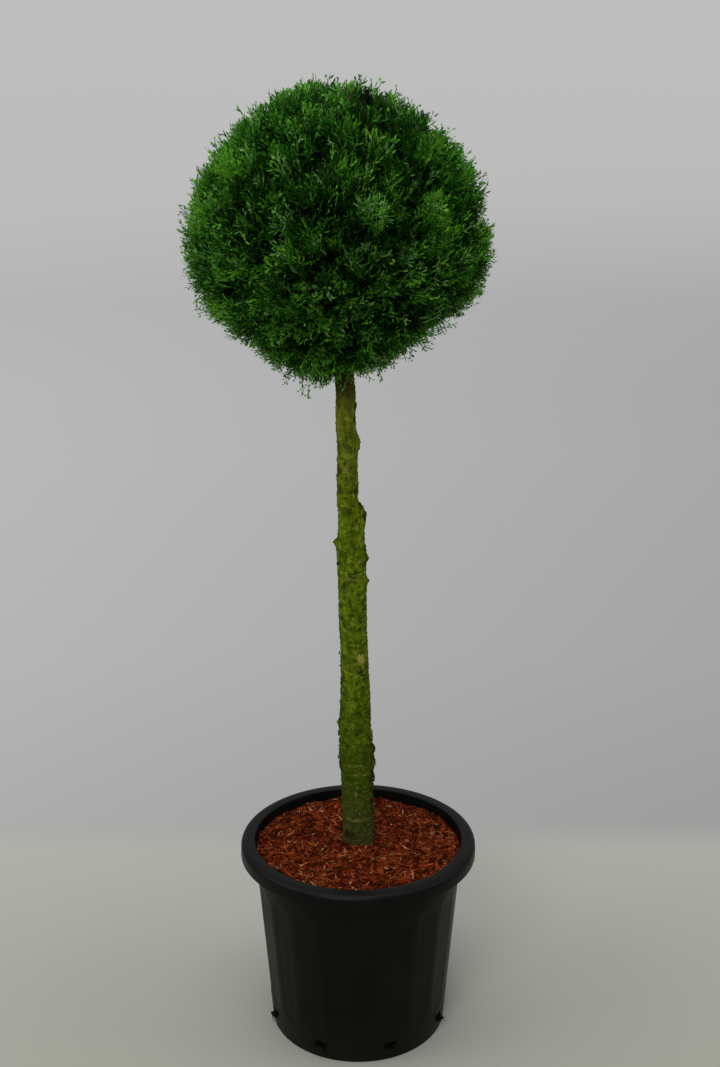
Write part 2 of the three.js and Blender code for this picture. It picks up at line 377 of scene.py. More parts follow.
class Finish(Nodes):
    """The node tree of a new material, from its patterns to its Principled shader."""

    def __init__(self, name: str) -> None:
        """Makes the material with its shader and output."""
        self.material = bpy.data.materials.new(name)
        self.material.use_nodes = True
        super().__init__(self.material.node_tree)

    def done(self, **sockets: object) -> bpy.types.Material:
        """Feeds the shader's sockets, named with _ for a space, and returns the material."""
        shader = self.tree.nodes["Principled BSDF"]
        for key, value in sockets.items():
            self.feed(shader.inputs[key.replace("_", " ")], value)
        return self.material

    def place(self, scale: tuple[float, float, float] = (1, 1, 1)) -> bpy.types.NodeSocket:
        """Object coordinates in metres, multiplied by a scale on each axis."""
        coordinates = self.add("TexCoord").outputs["Object"]
        return self.add("Mapping", {"Vector": coordinates, "Scale": scale}).outputs["Vector"]

    def axes(self) -> list[bpy.types.NodeSocket]:
        """The X, Y and Z of the object coordinates, in metres."""
        return list(self.add("SeparateXYZ", {"Vector": self.place()}).outputs)

    def noise(self, scale: tuple[float, float, float], detail: float) -> bpy.types.NodeSocket:
        """A noise value at the given number of features to a metre on each axis."""
        values = {"Vector": self.place(scale), "Scale": 1.0, "Detail": detail}
        return self.add("TexNoise", values).outputs["Fac"]

    def mix(self, share: object, first: object, second: object) -> bpy.types.NodeSocket:
        """A colour that goes from first to second as share goes from 0 to 1."""
        return self.add("Mix", {"Factor": share, 6: first, 7: second}, data_type="RGBA").outputs[2]

    def gloss(self, share: bpy.types.NodeSocket, least: float, most: float) -> bpy.types.NodeSocket:
        """A roughness that goes from least to most as share goes from 0 to 1."""
        return self.add("MapRange", {"Value": share, "To Min": least, "To Max": most}).outputs["Result"]

    def bump(self, height: bpy.types.NodeSocket, strength: float, distance: float) -> bpy.types.NodeSocket:
        """A normal that is tilted as if the surface rose by height times distance in metres."""
        values = {"Height": height, "Strength": strength, "Distance": distance}
        return self.add("Bump", values).outputs["Normal"]

    def grain(self, scale: float) -> tuple[bpy.types.NodeSocket, bpy.types.NodeSocket]:
        """Places the grain group, at scale features to a metre, and gives its Specks and Height."""
        node = self.add("Group", node_tree=GRAIN)
        self.feed(node.inputs["Place"], self.place())
        self.feed(node.inputs["Scale"], scale)
        return node.outputs["Specks"], node.outputs["Height"]


def grain_group() -> bpy.types.NodeTree:
    """A shader node group that gives a fine grain: a mask of specks and a height, from a place."""
    tree = bpy.data.node_groups.new("fine_grain", "ShaderNodeTree")
    for name, kind in (("Place", "Vector"), ("Scale", "Float")):
        tree.interface.new_socket(name, in_out="INPUT", socket_type="NodeSocket" + kind)
    for name in ("Specks", "Height"):
        tree.interface.new_socket(name, in_out="OUTPUT", socket_type="NodeSocketFloat")
    nodes = Nodes(tree)
    source = tree.nodes.new("NodeGroupInput").outputs
    sink = tree.nodes.new("NodeGroupOutput").inputs
    values = {"Vector": source["Place"], "Scale": source["Scale"], "Detail": 6.0, "Roughness": 0.62}
    fine = nodes.add("TexNoise", values).outputs["Fac"]
    nodes.feed(sink["Specks"], nodes.ramp(fine, 0.56, 0.74))
    nodes.feed(sink["Height"], fine)
    return tree


GRAIN = grain_group()


@dataclass(frozen=True)
class PlasticFinish:
    """Satin black moulded plastic with a little dust and rubbed patches."""

    body: tuple = srgb(7, 8, 7)
    dusty: tuple = srgb(24, 23, 18)

    def build(self) -> bpy.types.Material:
        """Black with broad pale smears, dust towards the foot, and an uneven gloss."""
        nodes = Finish("black_plastic")
        smear = nodes.ramp(nodes.noise((14, 14, 5), 4.0), 0.48, 0.78)
        specks, height = nodes.grain(420.0)
        foot = nodes.ramp(nodes.axes()[2], 0.09, 0.0)
        dirt = nodes.times(foot, nodes.noise((60, 60, 60), 5.0))
        share = nodes.maths("MAXIMUM", nodes.times(smear, 0.35), dirt)
        share = nodes.plus(share, nodes.times(specks, 0.10))
        return nodes.done(
            Base_Color=nodes.mix(share, self.body, self.dusty),
            Roughness=nodes.gloss(smear, 0.42, 0.5),
            Specular_IOR_Level=0.11,
            Normal=nodes.bump(height, 0.12, 0.0004),
        )


@dataclass(frozen=True)
class MulchFinish:
    """One shade of shredded bark, mottled by patches and specks."""

    name: str
    dark: tuple
    light: tuple

    def build(self) -> bpy.types.Material:
        """Two shades mixed by patches, a coarse noise and specks, quite matt."""
        nodes = Finish(self.name)
        coarse = nodes.ramp(nodes.noise((90, 90, 90), 3.0), 0.35, 0.65)
        specks, height = nodes.grain(900.0)
        patch = nodes.ramp(nodes.noise((16, 16, 16), 2.0), 0.36, 0.60)
        coarse = nodes.times(coarse, nodes.plus(nodes.times(patch, 0.7), 0.3))
        share = nodes.times(coarse, nodes.plus(specks, 0.55))
        return nodes.done(
            Base_Color=nodes.mix(share, self.dark, self.light),
            Roughness=0.9,
            Specular_IOR_Level=0.04,
            Normal=nodes.bump(height, 0.6, 0.0008),
        )


@dataclass(frozen=True)
class LeafFinish:
    """One green of the scale leaves, the same all over, with an uneven waxy gloss."""

    name: str
    colour: tuple
    gloss: float = 0.16

    def build(self) -> bpy.types.Material:
        """A plain colour under a roughness and a bump that follow a fine noise."""
        nodes = Finish(self.name)
        _, height = nodes.grain(700.0)
        return nodes.done(
            Base_Color=self.colour,
            Roughness=nodes.gloss(height, 0.5, 0.8),
            Specular_IOR_Level=self.gloss,
            Normal=nodes.bump(height, 0.5, 0.0006),
        )


@dataclass(frozen=True)
class TwigFinish:
    """Thin brown bark on the boughs and twigs inside the ball."""

    brown: tuple = srgb(70, 50, 30)
    green: tuple = srgb(52, 58, 22)

    def build(self) -> bpy.types.Material:
        """Brown with green patches and a rough relief."""
        nodes = Finish("twig_bark")
        share = nodes.ramp(nodes.noise((40, 40, 40), 3.0), 0.4, 0.6)
        _, height = nodes.grain(500.0)
        return nodes.done(
            Base_Color=nodes.mix(share, self.brown, self.green),
            Roughness=0.85,
            Normal=nodes.bump(height, 0.6, 0.001),
        )


@dataclass(frozen=True)
class BarkFinish:
    """Trunk bark under a film of green algae: mottled olive, browner at the top, grey at the foot."""

    olive: tuple = srgb(90, 108, 12)
    deep: tuple = srgb(42, 56, 4)
    bright: tuple = srgb(118, 136, 30)
    pale: tuple = srgb(146, 154, 72)
    brown: tuple = srgb(108, 104, 38)
    grey: tuple = srgb(64, 58, 34)
    tan: tuple = srgb(158, 140, 84)
    nub: tuple = srgb(22, 20, 10)
    neck: tuple = srgb(58, 46, 20)

    def build(self) -> bpy.types.Material:
        """Layers of mottling, each laid over the last, then the stored marks of cuts and buds."""
        nodes = Finish("algae_bark")
        x, _, z = nodes.axes()
        right = nodes.ramp(x, -0.010, 0.004)
        patch = nodes.ramp(nodes.noise((18, 18, 14), 2.0), 0.44, 0.58)
        fleck = nodes.ramp(nodes.noise((190, 190, 230), 2.0), 0.62, 0.72)
        layers = (
            (nodes.ramp(nodes.noise((62, 62, 70), 5.0), 0.34, 0.56), 1.0, self.olive),
            (nodes.ramp(nodes.noise((90, 90, 130), 5.0), 0.50, 0.64), 0.75, self.bright),
            (nodes.ramp(z, 0.86, 1.06), 0.6, self.brown),
            (nodes.ramp(z, 0.62, 0.45), 0.7, self.deep),
            (nodes.ramp(z, 0.44, 0.33), 0.85, self.grey),
            (nodes.ramp(z, 1.035, 1.062), 0.8, self.neck),
            (nodes.ramp(nodes.noise((170, 170, 60), 5.0), 0.54, 0.38), 0.6, self.deep),
            (nodes.ramp(nodes.noise((120, 120, 300), 4.0), 0.53, 0.66), 0.5, self.deep),
            (fleck, nodes.plus(nodes.times(nodes.times(right, patch), 0.75), 0.12), self.pale),
        )
        colour = self.deep
        for mask, most, shade in layers:
            colour = nodes.mix(nodes.times(mask, most), colour, shade)
        crumbled = nodes.ramp(nodes.noise((320, 320, 320), 2.0), 0.40, 0.56)
        crumbled = nodes.plus(nodes.times(crumbled, 0.7), 0.3)
        for mark, shade in (("pale_mark", self.tan), ("dark_mark", self.nub)):
            stored = nodes.add("Attribute", attribute_name=mark).outputs["Fac"]
            colour = nodes.mix(nodes.times(stored, crumbled), colour, shade)
        _, height = nodes.grain(380.0)
        relief = nodes.plus(nodes.times(height, 0.6), nodes.noise((190, 190, 45), 6.0))
        return nodes.done(
            Base_Color=colour,
            Roughness=0.85,
            Specular_IOR_Level=0.04,
            Normal=nodes.bump(relief, 1.0, 0.0026),
        )


@dataclass(frozen=True)
class SoilFinish:
    """Dark crumbly potting mix, matt."""

    dark: tuple = srgb(14, 7, 4)
    light: tuple = srgb(38, 19, 10)

    def build(self) -> bpy.types.Material:
        """Two close shades mixed by specks."""
        nodes = Finish("potting_mix")
        specks, height = nodes.grain(260.0)
        return nodes.done(
            Base_Color=nodes.mix(specks, self.dark, self.light),
            Roughness=0.9,
            Specular_IOR_Level=0.1,
            Normal=nodes.bump(height, 0.2, 0.0005),
        )


@dataclass(frozen=True)
class FloorFinish:
    """The studio floor: matt, with painted shade that makes it a little darker towards the front, and faded
    out at its far edge.
    """

    # The floor's colour under painted shade at the front, and its colour further back.
    near: tuple = srgb(153, 154, 143)
    far: tuple = srgb(172, 173, 167)
    fade_from: float = 0.54
    fade_to: float = 0.67

    def build(self) -> bpy.types.Material:
        """Two shades and an alpha that follow the distance from the front."""
        nodes = Finish("studio_floor")
        y = nodes.axes()[1]
        return nodes.done(
            # Painted shade: darker towards the front.
            Base_Color=nodes.mix(nodes.ramp(y, -0.35, 0.55), self.near, self.far),
            Roughness=0.9,
            Specular_IOR_Level=0.1,
            Alpha=nodes.ramp(y, self.fade_to, self.fade_from),
        )


class LeafTint(Enum):
    """The greens of the foliage, each dealt out to whole sprays. The first four are one green in steps from
    painted shade to painted light.
    """

    # One green in four steps of painted shade and painted light, darkest first.
    PAINTED_SHADE = LeafFinish("leaf_shade_green", srgb(6, 26, 3), gloss=0.06)
    PAINTED_HALF_SHADE = LeafFinish("leaf_half_shade_green", srgb(21, 60, 6), gloss=0.1)
    MID = LeafFinish("leaf_mid_green", srgb(46, 103, 11))
    PAINTED_LIGHT = LeafFinish("leaf_lit_green", srgb(74, 134, 23))
    YELLOW = LeafFinish("leaf_yellow_green", srgb(100, 150, 38))
    # A painted sheen: grey-green that stands in for sky reflected off some sprays.
    PAINTED_SHEEN = LeafFinish("leaf_sheen_green", srgb(88, 130, 66))
    DRY = LeafFinish("leaf_dry_brown", srgb(66, 50, 22))


YELLOW, PAINTED_SHEEN, DRY = (list(LeafTint).index(tint) for tint in (LeafTint.YELLOW, LeafTint.PAINTED_SHEEN, LeafTint.DRY))
# For tips of each tint in turn, the place in LeafTint of the older growth behind them: one step darker,
# partly the older growth's own tone and partly painted shade inside the ball.
OLDER = np.array([0, 0, 1, 1, 1, 1, DRY])


# Pot ----------------------------------------------------------------------------------------------


@dataclass
class NurseryPot:
    """The moulded pot: a tapered fluted wall on a flat foot, and a broad rim with a hanging skirt."""

    foot_radius: float = 0.144
    draft: float = 0.083
    wall: float = 2.2 * MM
    round_edge: float = 1.5 * MM
    flutes: int = 20
    flute_depth: float = 1.3 * MM
    flute_low: float = 0.044
    flute_high: float = 0.264
    flute_end: float = 12 * MM
    flute_arch: float = 13 * MM
    rib_first: float = math.radians(-3)
    drains: int = 8
    drain_first: float = math.radians(20.5)
    drain_width: float = 0.020
    drain_low: float = 0.020
    drain_high: float = 0.033
    columns: int = 600
    fine_step: float = 4 * MM
    coarse_step: float = 20 * MM
    shoulder: float = 10.5 * MM
    height: float = field(init=False)
    rim_radius: float = field(init=False)
    skirt_foot: float = field(init=False)

    def __post_init__(self) -> None:
        """Takes the rim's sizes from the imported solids."""
        low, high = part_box("pot_rim_skirt")
        self.rim_radius = high.x
        self.skirt_foot = low.z
        self.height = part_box("pot_rim")[1].z

    def radius(self, height: np.ndarray | float) -> np.ndarray | float:
        """The outside radius of the plain wall: foot radius plus draft times height."""
        return self.foot_radius + self.draft * height

    def profile(self) -> tuple[np.ndarray, np.ndarray]:
        """The closed outline of the wall in the plane of radius and height.

        Straight runs between corners, each corner an arc that meets both runs.

        Returns:
            (n, 2) points of radius and height, and (n,) True on the outside of the wall.
        """
        foot, top, wall, rim = self.skirt_foot, self.height, self.wall, self.rim_radius
        inner = self.radius(top) - wall
        slot = (self.drain_low, self.drain_high)
        corners = [
            (self.radius(0), 0.0, self.round_edge),
            *((self.radius(z), z, 0.0) for z in slot),
            (self.radius(top - wall), top - wall, 1.2 * MM),
            (rim - wall - 0.5 * MM, top - wall, self.shoulder - wall),
            (rim - wall, foot, 0.6 * MM),
            (rim, foot, 0.6 * MM),
            (rim - 0.5 * MM, top, self.shoulder),
            (inner, top, 2.0 * MM),
            *((self.radius(z) - wall, z, 0.0) for z in reversed(slot)),
            (self.radius(2 * wall) - wall, wall, 2.0 * MM),
        ]
        places = np.array([(0.0, 0.0), *((x, z) for x, z, _ in corners), (0.0, wall)])
        arcs = [arc for *_, arc in corners]
        turns = map(self.corner_arc, places[:-2], places[1:-1], places[2:], arcs)
        outline = self.subdivided(np.concatenate([places[:1], *turns, places[-1:]]))
        outside = (np.abs(outline[:, 0] - self.radius(outline[:, 1])) < 0.05 * MM) & (outline[:, 1] > 0.003)
        return outline, outside

    @staticmethod
    def corner_arc(before: np.ndarray, here: np.ndarray, after: np.ndarray, arc: float) -> np.ndarray:
        """A corner rounded by a quadratic curve that starts and ends arc away from it, or left sharp."""
        if arc == 0:
            return here[None]
        start = here + unit(before - here) * arc
        end = here + unit(after - here) * arc
        return quadratic(start, here, end, np.linspace(0, 1, 7)[:, None])

    def subdivided(self, outline: np.ndarray) -> np.ndarray:
        """The outline with long runs cut up: finely on the outside wall, coarsely elsewhere."""
        off_wall = np.abs(outline[:, 0] - self.radius(outline[:, 1])) >= 0.1 * MM
        parts = []
        for start, (first, last) in enumerate(zip(outline[:-1], outline[1:])):
            beside_slot = {first[1], last[1]} == {self.drain_low, self.drain_high}
            coarse = off_wall[start : start + 2].any() or beside_slot
            longest = self.coarse_step if coarse else self.fine_step
            count = max(1, int(math.ceil(np.linalg.norm(last - first) / longest)))
            parts.append(first + (last - first) * (np.arange(count)[:, None] / count))
        return np.concatenate([*parts, outline[-1:]])

    def flute(self, height: np.ndarray, turn: np.ndarray) -> np.ndarray:
        """How far the wall is set back: wide shallow flutes with round-cornered ends and narrow ribs.

        The depth times an ease across, which falls to nothing at each rib, times an ease at both ends,
        which are pulled in near the ribs so that each flute ends in a low arch.
        """
        pitch = 2 * math.pi / self.flutes
        off = np.abs((turn - self.rib_first + pitch / 2) % pitch - pitch / 2) / (pitch / 2)
        across = ease(0.04, 0.72, off)
        arch = self.flute_arch * (1 - off) ** 2
        head = ease(0, self.flute_end, self.flute_high - arch - height)
        foot = ease(0, self.flute_end, height - self.flute_low - arch)
        return self.flute_depth * across * (head * foot)

    def build(self, plastic: bpy.types.Material) -> bpy.types.Object:
        """Turns the outline round the axis, sets back the flutes and opens the drain slots."""
        outline, outside = self.profile()
        turn = self.drain_first + np.arange(self.columns) * 2 * math.pi / self.columns
        radius = np.repeat(outline[:, :1], self.columns, axis=1)
        height = np.repeat(outline[:, 1:], self.columns, axis=1)
        radius = radius - self.flute(height, turn[None, :]) * outside[:, None]
        vertices = np.stack([radius * np.sin(turn), -radius * np.cos(turn), height], axis=-1)
        quads = grid_quads(len(outline), self.columns, wrap=True)[:, ::-1]
        skin = Skin(vertices.reshape(-1, 3), [self.opened(quads, outline)])
        piece = make_piece("nursery_pot", skin, plastic, smooth=True)
        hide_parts("pot", "pot_rim", "pot_rim_skirt")
        return piece

    def opened(self, quads: np.ndarray, outline: np.ndarray) -> np.ndarray:
        """Opens the drain slots through both sides of the wall and closes their edges across it.

        Args:
            quads: the wall's quads, row by row.
            outline: the outline, with a row at the foot and the head of the slots on each side.

        Returns:
            The quads with those inside the slots left out and the slots' four edges added.
        """
        low_out, low_in = np.flatnonzero(outline[:, 1] == self.drain_low)
        high_out, high_in = np.flatnonzero(outline[:, 1] == self.drain_high)
        half = round(self.drain_width / 2 / self.foot_radius / (2 * math.pi / self.columns))
        by_row = quads.reshape(len(outline) - 1, self.columns, 4)
        keep = np.ones(by_row.shape[:2], bool)
        edges = []
        for middle in range(0, self.columns, self.columns // self.drains):
            here = np.arange(middle - half, middle + half) % self.columns
            after = (here + 1) % self.columns
            keep[np.ix_([low_out, high_in], here)] = False
            first, last = here[:1], after[-1:]
            edges += [
                ((low_out, here), (low_out, after), (low_in, after), (low_in, here)),
                ((high_out, after), (high_out, here), (high_in, here), (high_in, after)),
                ((low_out, first), (low_in, first), (high_in, first), (high_out, first)),
                ((low_out, last), (high_out, last), (high_in, last), (low_in, last)),
            ]
        numbers = [[row * self.columns + column for row, column in edge] for edge in edges]
        return np.concatenate([by_row[keep], *(np.stack(corners, axis=1) for corners in numbers)])

    def roots(self, finish: bpy.types.Material, seed: int = 3) -> bpy.types.Object:
        """Root ends that hang out of the drain slots."""
        rng = np.random.default_rng(seed)
        count = 12 * self.drains
        slot = self.drain_first + (np.arange(count) % self.drains) * 2 * math.pi / self.drains
        turn = slot + rng.uniform(-0.9, 0.9, count) * self.drain_width / 2 / self.foot_radius
        lowest, highest = self.drain_low, self.drain_low + 0.6 * (self.drain_high - self.drain_low)
        height = rng.uniform(lowest, highest, count)
        out = np.stack([np.sin(turn), -np.cos(turn), 0 * turn], axis=-1)
        start = out * (self.radius(height) - 2 * self.wall)[:, None] + height[:, None] * UP
        reach = rng.uniform(6 * MM, 12 * MM, count)[:, None]
        bend = start + out * reach
        end = bend + rng.normal(0, 2.5 * MM, (count, 3)) - rng.uniform(0, 5 * MM, count)[:, None] * UP
        path = np.stack([start, (start + bend) / 2, bend, (bend + end) / 2 - 0.5 * MM * UP, end], axis=1)
        girth = rng.uniform(0.5 * MM, 1.5 * MM, (count, 1)) * np.array([[1, 1, 0.9, 0.7, 0.4]])
        return make_piece("slot_roots", tapered_limbs(path, girth, 6), finish, smooth=True)


# What fills the pot -------------------------------------------------------------------------------


@dataclass
class BarkMulch:
    """Loose shredded bark: a bed, and thousands of chips and fibres that lie over it."""

    edge_top: float = 0.309
    mound: float = 0.012
    rough: float = 1.8 * MM
    sunk: float = 1.2 * MM
    trunk_clear: float = 0.027
    chips: int = 9000
    seed: int = 11
    radius: float = field(init=False)
    foot: float = field(init=False)

    def __post_init__(self) -> None:
        """Takes the layer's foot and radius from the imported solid."""
        low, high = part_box("bark_mulch")
        self.foot = low.z
        self.radius = high.x + 1.2 * MM

    def height(self, x: np.ndarray, y: np.ndarray) -> np.ndarray:
        """Top of the bed: the edge, plus the mound times a power of nearness to the middle, plus noise."""
        near = np.clip(1 - np.hypot(x, y) / self.radius, 0, 1)
        places = np.stack([x, y, 0 * x], axis=-1).reshape(-1, 3)
        noise = layered_noise(places / 0.028, 4, self.seed).reshape(x.shape)
        return self.edge_top + self.mound * near**0.8 + self.rough * noise

    def bed(self) -> Skin:
        """The bed as a disc of rings, whose last ring drops to the layer's foot along the wall."""
        rings, columns = 90, 256
        share = np.linspace(0.002, 1, rings)[:, None]
        turn = np.arange(columns)[None, :] * 2 * math.pi / columns
        x, y = self.radius * share * np.cos(turn), self.radius * share * np.sin(turn)
        top = np.stack([x, y, self.height(x, y)], axis=-1)
        edge = top[-1:].copy()
        edge[..., 2] = self.foot
        middle = np.zeros((1, columns, 3))
        middle[..., 2] = self.foot
        vertices = np.concatenate([top, edge, middle])
        quads = grid_quads(rings + 2, columns, wrap=True)[:, ::-1]
        return Skin(vertices.reshape(-1, 3), [quads])

    def scattered(
        self, count: int, length: tuple[float, float], slim: float, rng: np.random.Generator
    ) -> Skin:
        """Chips thrown on the bed: bent slivers that lie almost flat, turned at random, one end higher.

        Args:
            count: how many are thrown; those that would pass the wall or the trunk are left out.
            length: the least and greatest length before a random stretch.
            slim: width as a share of length.
            rng: the source of chance.

        Returns:
            The chips as one skin.
        """
        far = self.radius * np.sqrt(rng.uniform(0.012, 0.985, count))
        turn = rng.uniform(0, 2 * math.pi, count)
        x, y = far * np.cos(turn), far * np.sin(turn)
        size = rng.uniform(*length, count) * rng.uniform(0.6, 1.4, count)
        wide = np.clip(size * slim * rng.uniform(0.6, 1.6, count), 0.5 * MM, 5 * MM)
        thick = np.clip(wide * rng.uniform(0.25, 0.6, count), 0.35 * MM, 2.2 * MM)
        heading = rng.uniform(0, 2 * math.pi, count)
        pitch = rng.normal(0, 0.22, count)
        level = np.cos(pitch)
        along = np.stack([np.cos(heading) * level, np.sin(heading) * level, np.sin(pitch)], axis=-1)
        roll = rng.normal(0, 0.5, count)[:, None]
        flat = unit(np.cross(UP, along))
        side = unit(flat * np.cos(roll) + np.cross(along, flat) * np.sin(roll))
        lift = np.abs(np.sin(pitch)) * size * 0.3 + rng.uniform(0, 2.2 * MM, count)
        centre = np.stack([x, y, self.height(x, y) + lift - self.sunk], axis=-1)
        outward = np.abs(along[:, 0] * x + along[:, 1] * y) / far
        furthest = np.hypot(x, y) + outward * size / 2
        keep = (furthest < self.radius - 0.5 * MM) & (far > self.trunk_clear)
        arc = rng.normal(0, 0.12, count)
        parts = (centre, along, side, size, wide, thick, arc)
        return Slivers(*(values[keep] for values in parts)).skin()

    def build(self) -> None:
        """Makes the bed and the chips, each shade of chips a piece of its own."""
        rng = np.random.default_rng(self.seed)
        soil = MulchFinish("mulch_bed", srgb(47, 14, 4), srgb(103, 41, 20)).build()
        bed = make_piece("mulch_bed", self.bed(), soil, smooth=True)
        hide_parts("bark_mulch")
        shades = {
            "mulch_dark_chips": (0.24, srgb(43, 11, 2), srgb(76, 25, 7), (8 * MM, 18 * MM), 0.18),
            "mulch_red_chips": (0.40, srgb(90, 29, 8), srgb(143, 60, 25), (6 * MM, 16 * MM), 0.13),
            "mulch_rust_chips": (0.27, srgb(109, 44, 13), srgb(167, 88, 42), (6 * MM, 18 * MM), 0.09),
            "mulch_tan_fibres": (0.09, srgb(152, 95, 57), srgb(212, 166, 122), (6 * MM, 15 * MM), 0.08),
        }
        for name, (share, dark, light, length, slim) in shades.items():
            skin = self.scattered(int(self.chips * share), length, slim, rng)
            make_piece(name, skin, MulchFinish(name, dark, light).build(), smooth=False)


# Trunk --------------------------------------------------------------------------------------------


@dataclass(frozen=True)
class Knot:
    """A healed cut, bud or ridge: where it is, its size, and how dark and how pale its bark is.

    Heights and the rise are in millimetres, the side is degrees round from +X, and tall and wide are
    its half height in millimetres and its half turn in degrees.
    """

    height: float
    side: float
    rise: float
    tall: float
    wide: float
    dark: float
    pale: float


KNOTS = (
    (340, 232, 2.4, 10, 26, 1.0, 0),
    (458, 358, 2.2, 8, 16, 0.4, 0),
    (484, 4, 2.6, 5, 14, 0.5, 0),
    (500, 352, 1.8, 6, 16, 0.3, 0),
    (527, 184, 2.0, 8, 18, 0, 0),
    (560, 176, 1.8, 5, 14, 0.3, 0),
    (641, 300, 1.4, 8, 19, 0, 0.9),
    (620, 292, 1.2, 5, 16, 1.0, 0),
    (640, 180, -1.5, 45, 75, 0, 0),
    (763, 2, 0.9, 5, 18, 0.9, 0),
    (801, 358, 1.8, 7, 18, 0.5, 0),
    (827, 180, 3.4, 5, 16, 0.9, 0),
    (771, 262, 1.4, 2.5, 40, 0, 0.2),
    (765, 262, -0.8, 2.5, 42, 0.3, 0),
    (460, 262, 1.0, 2.2, 46, 0, 0.2),
    (445, 285, 1.0, 2.2, 40, 0, 0.25),
    (365, 262, 1.2, 2.2, 50, 0, 0.25),
    (777, 288, 1.3, 3, 14, 0, 0.5),
    (800, 300, 1.2, 4, 10, 0, 0.4),
    (836, 306, 1.0, 4, 8, 0, 0.7),
    (882, 352, 1.6, 4, 16, 0.9, 0),
    (870, 0, 0.4, 9, 34, 0.5, 0),
    (894, 0, -2.4, 8, 40, 0, 0),
    (944, 258, 0.9, 7, 18, 0, 0.5),
    (949, 254, -0.9, 3, 9, 0.6, 0),
    (970, 290, -0.8, 6, 7, 0.6, 0),
    (980, 0, 2.4, 13, 30, 0, 0),
    (700, 100, 1.8, 8, 22, 0.5, 0),
    (600, 70, 1.6, 6, 18, 0, 0.5),
    (905, 120, 2.0, 7, 20, 0.6, 0),
    (420, 110, 1.8, 7, 20, 0, 0.4),
)


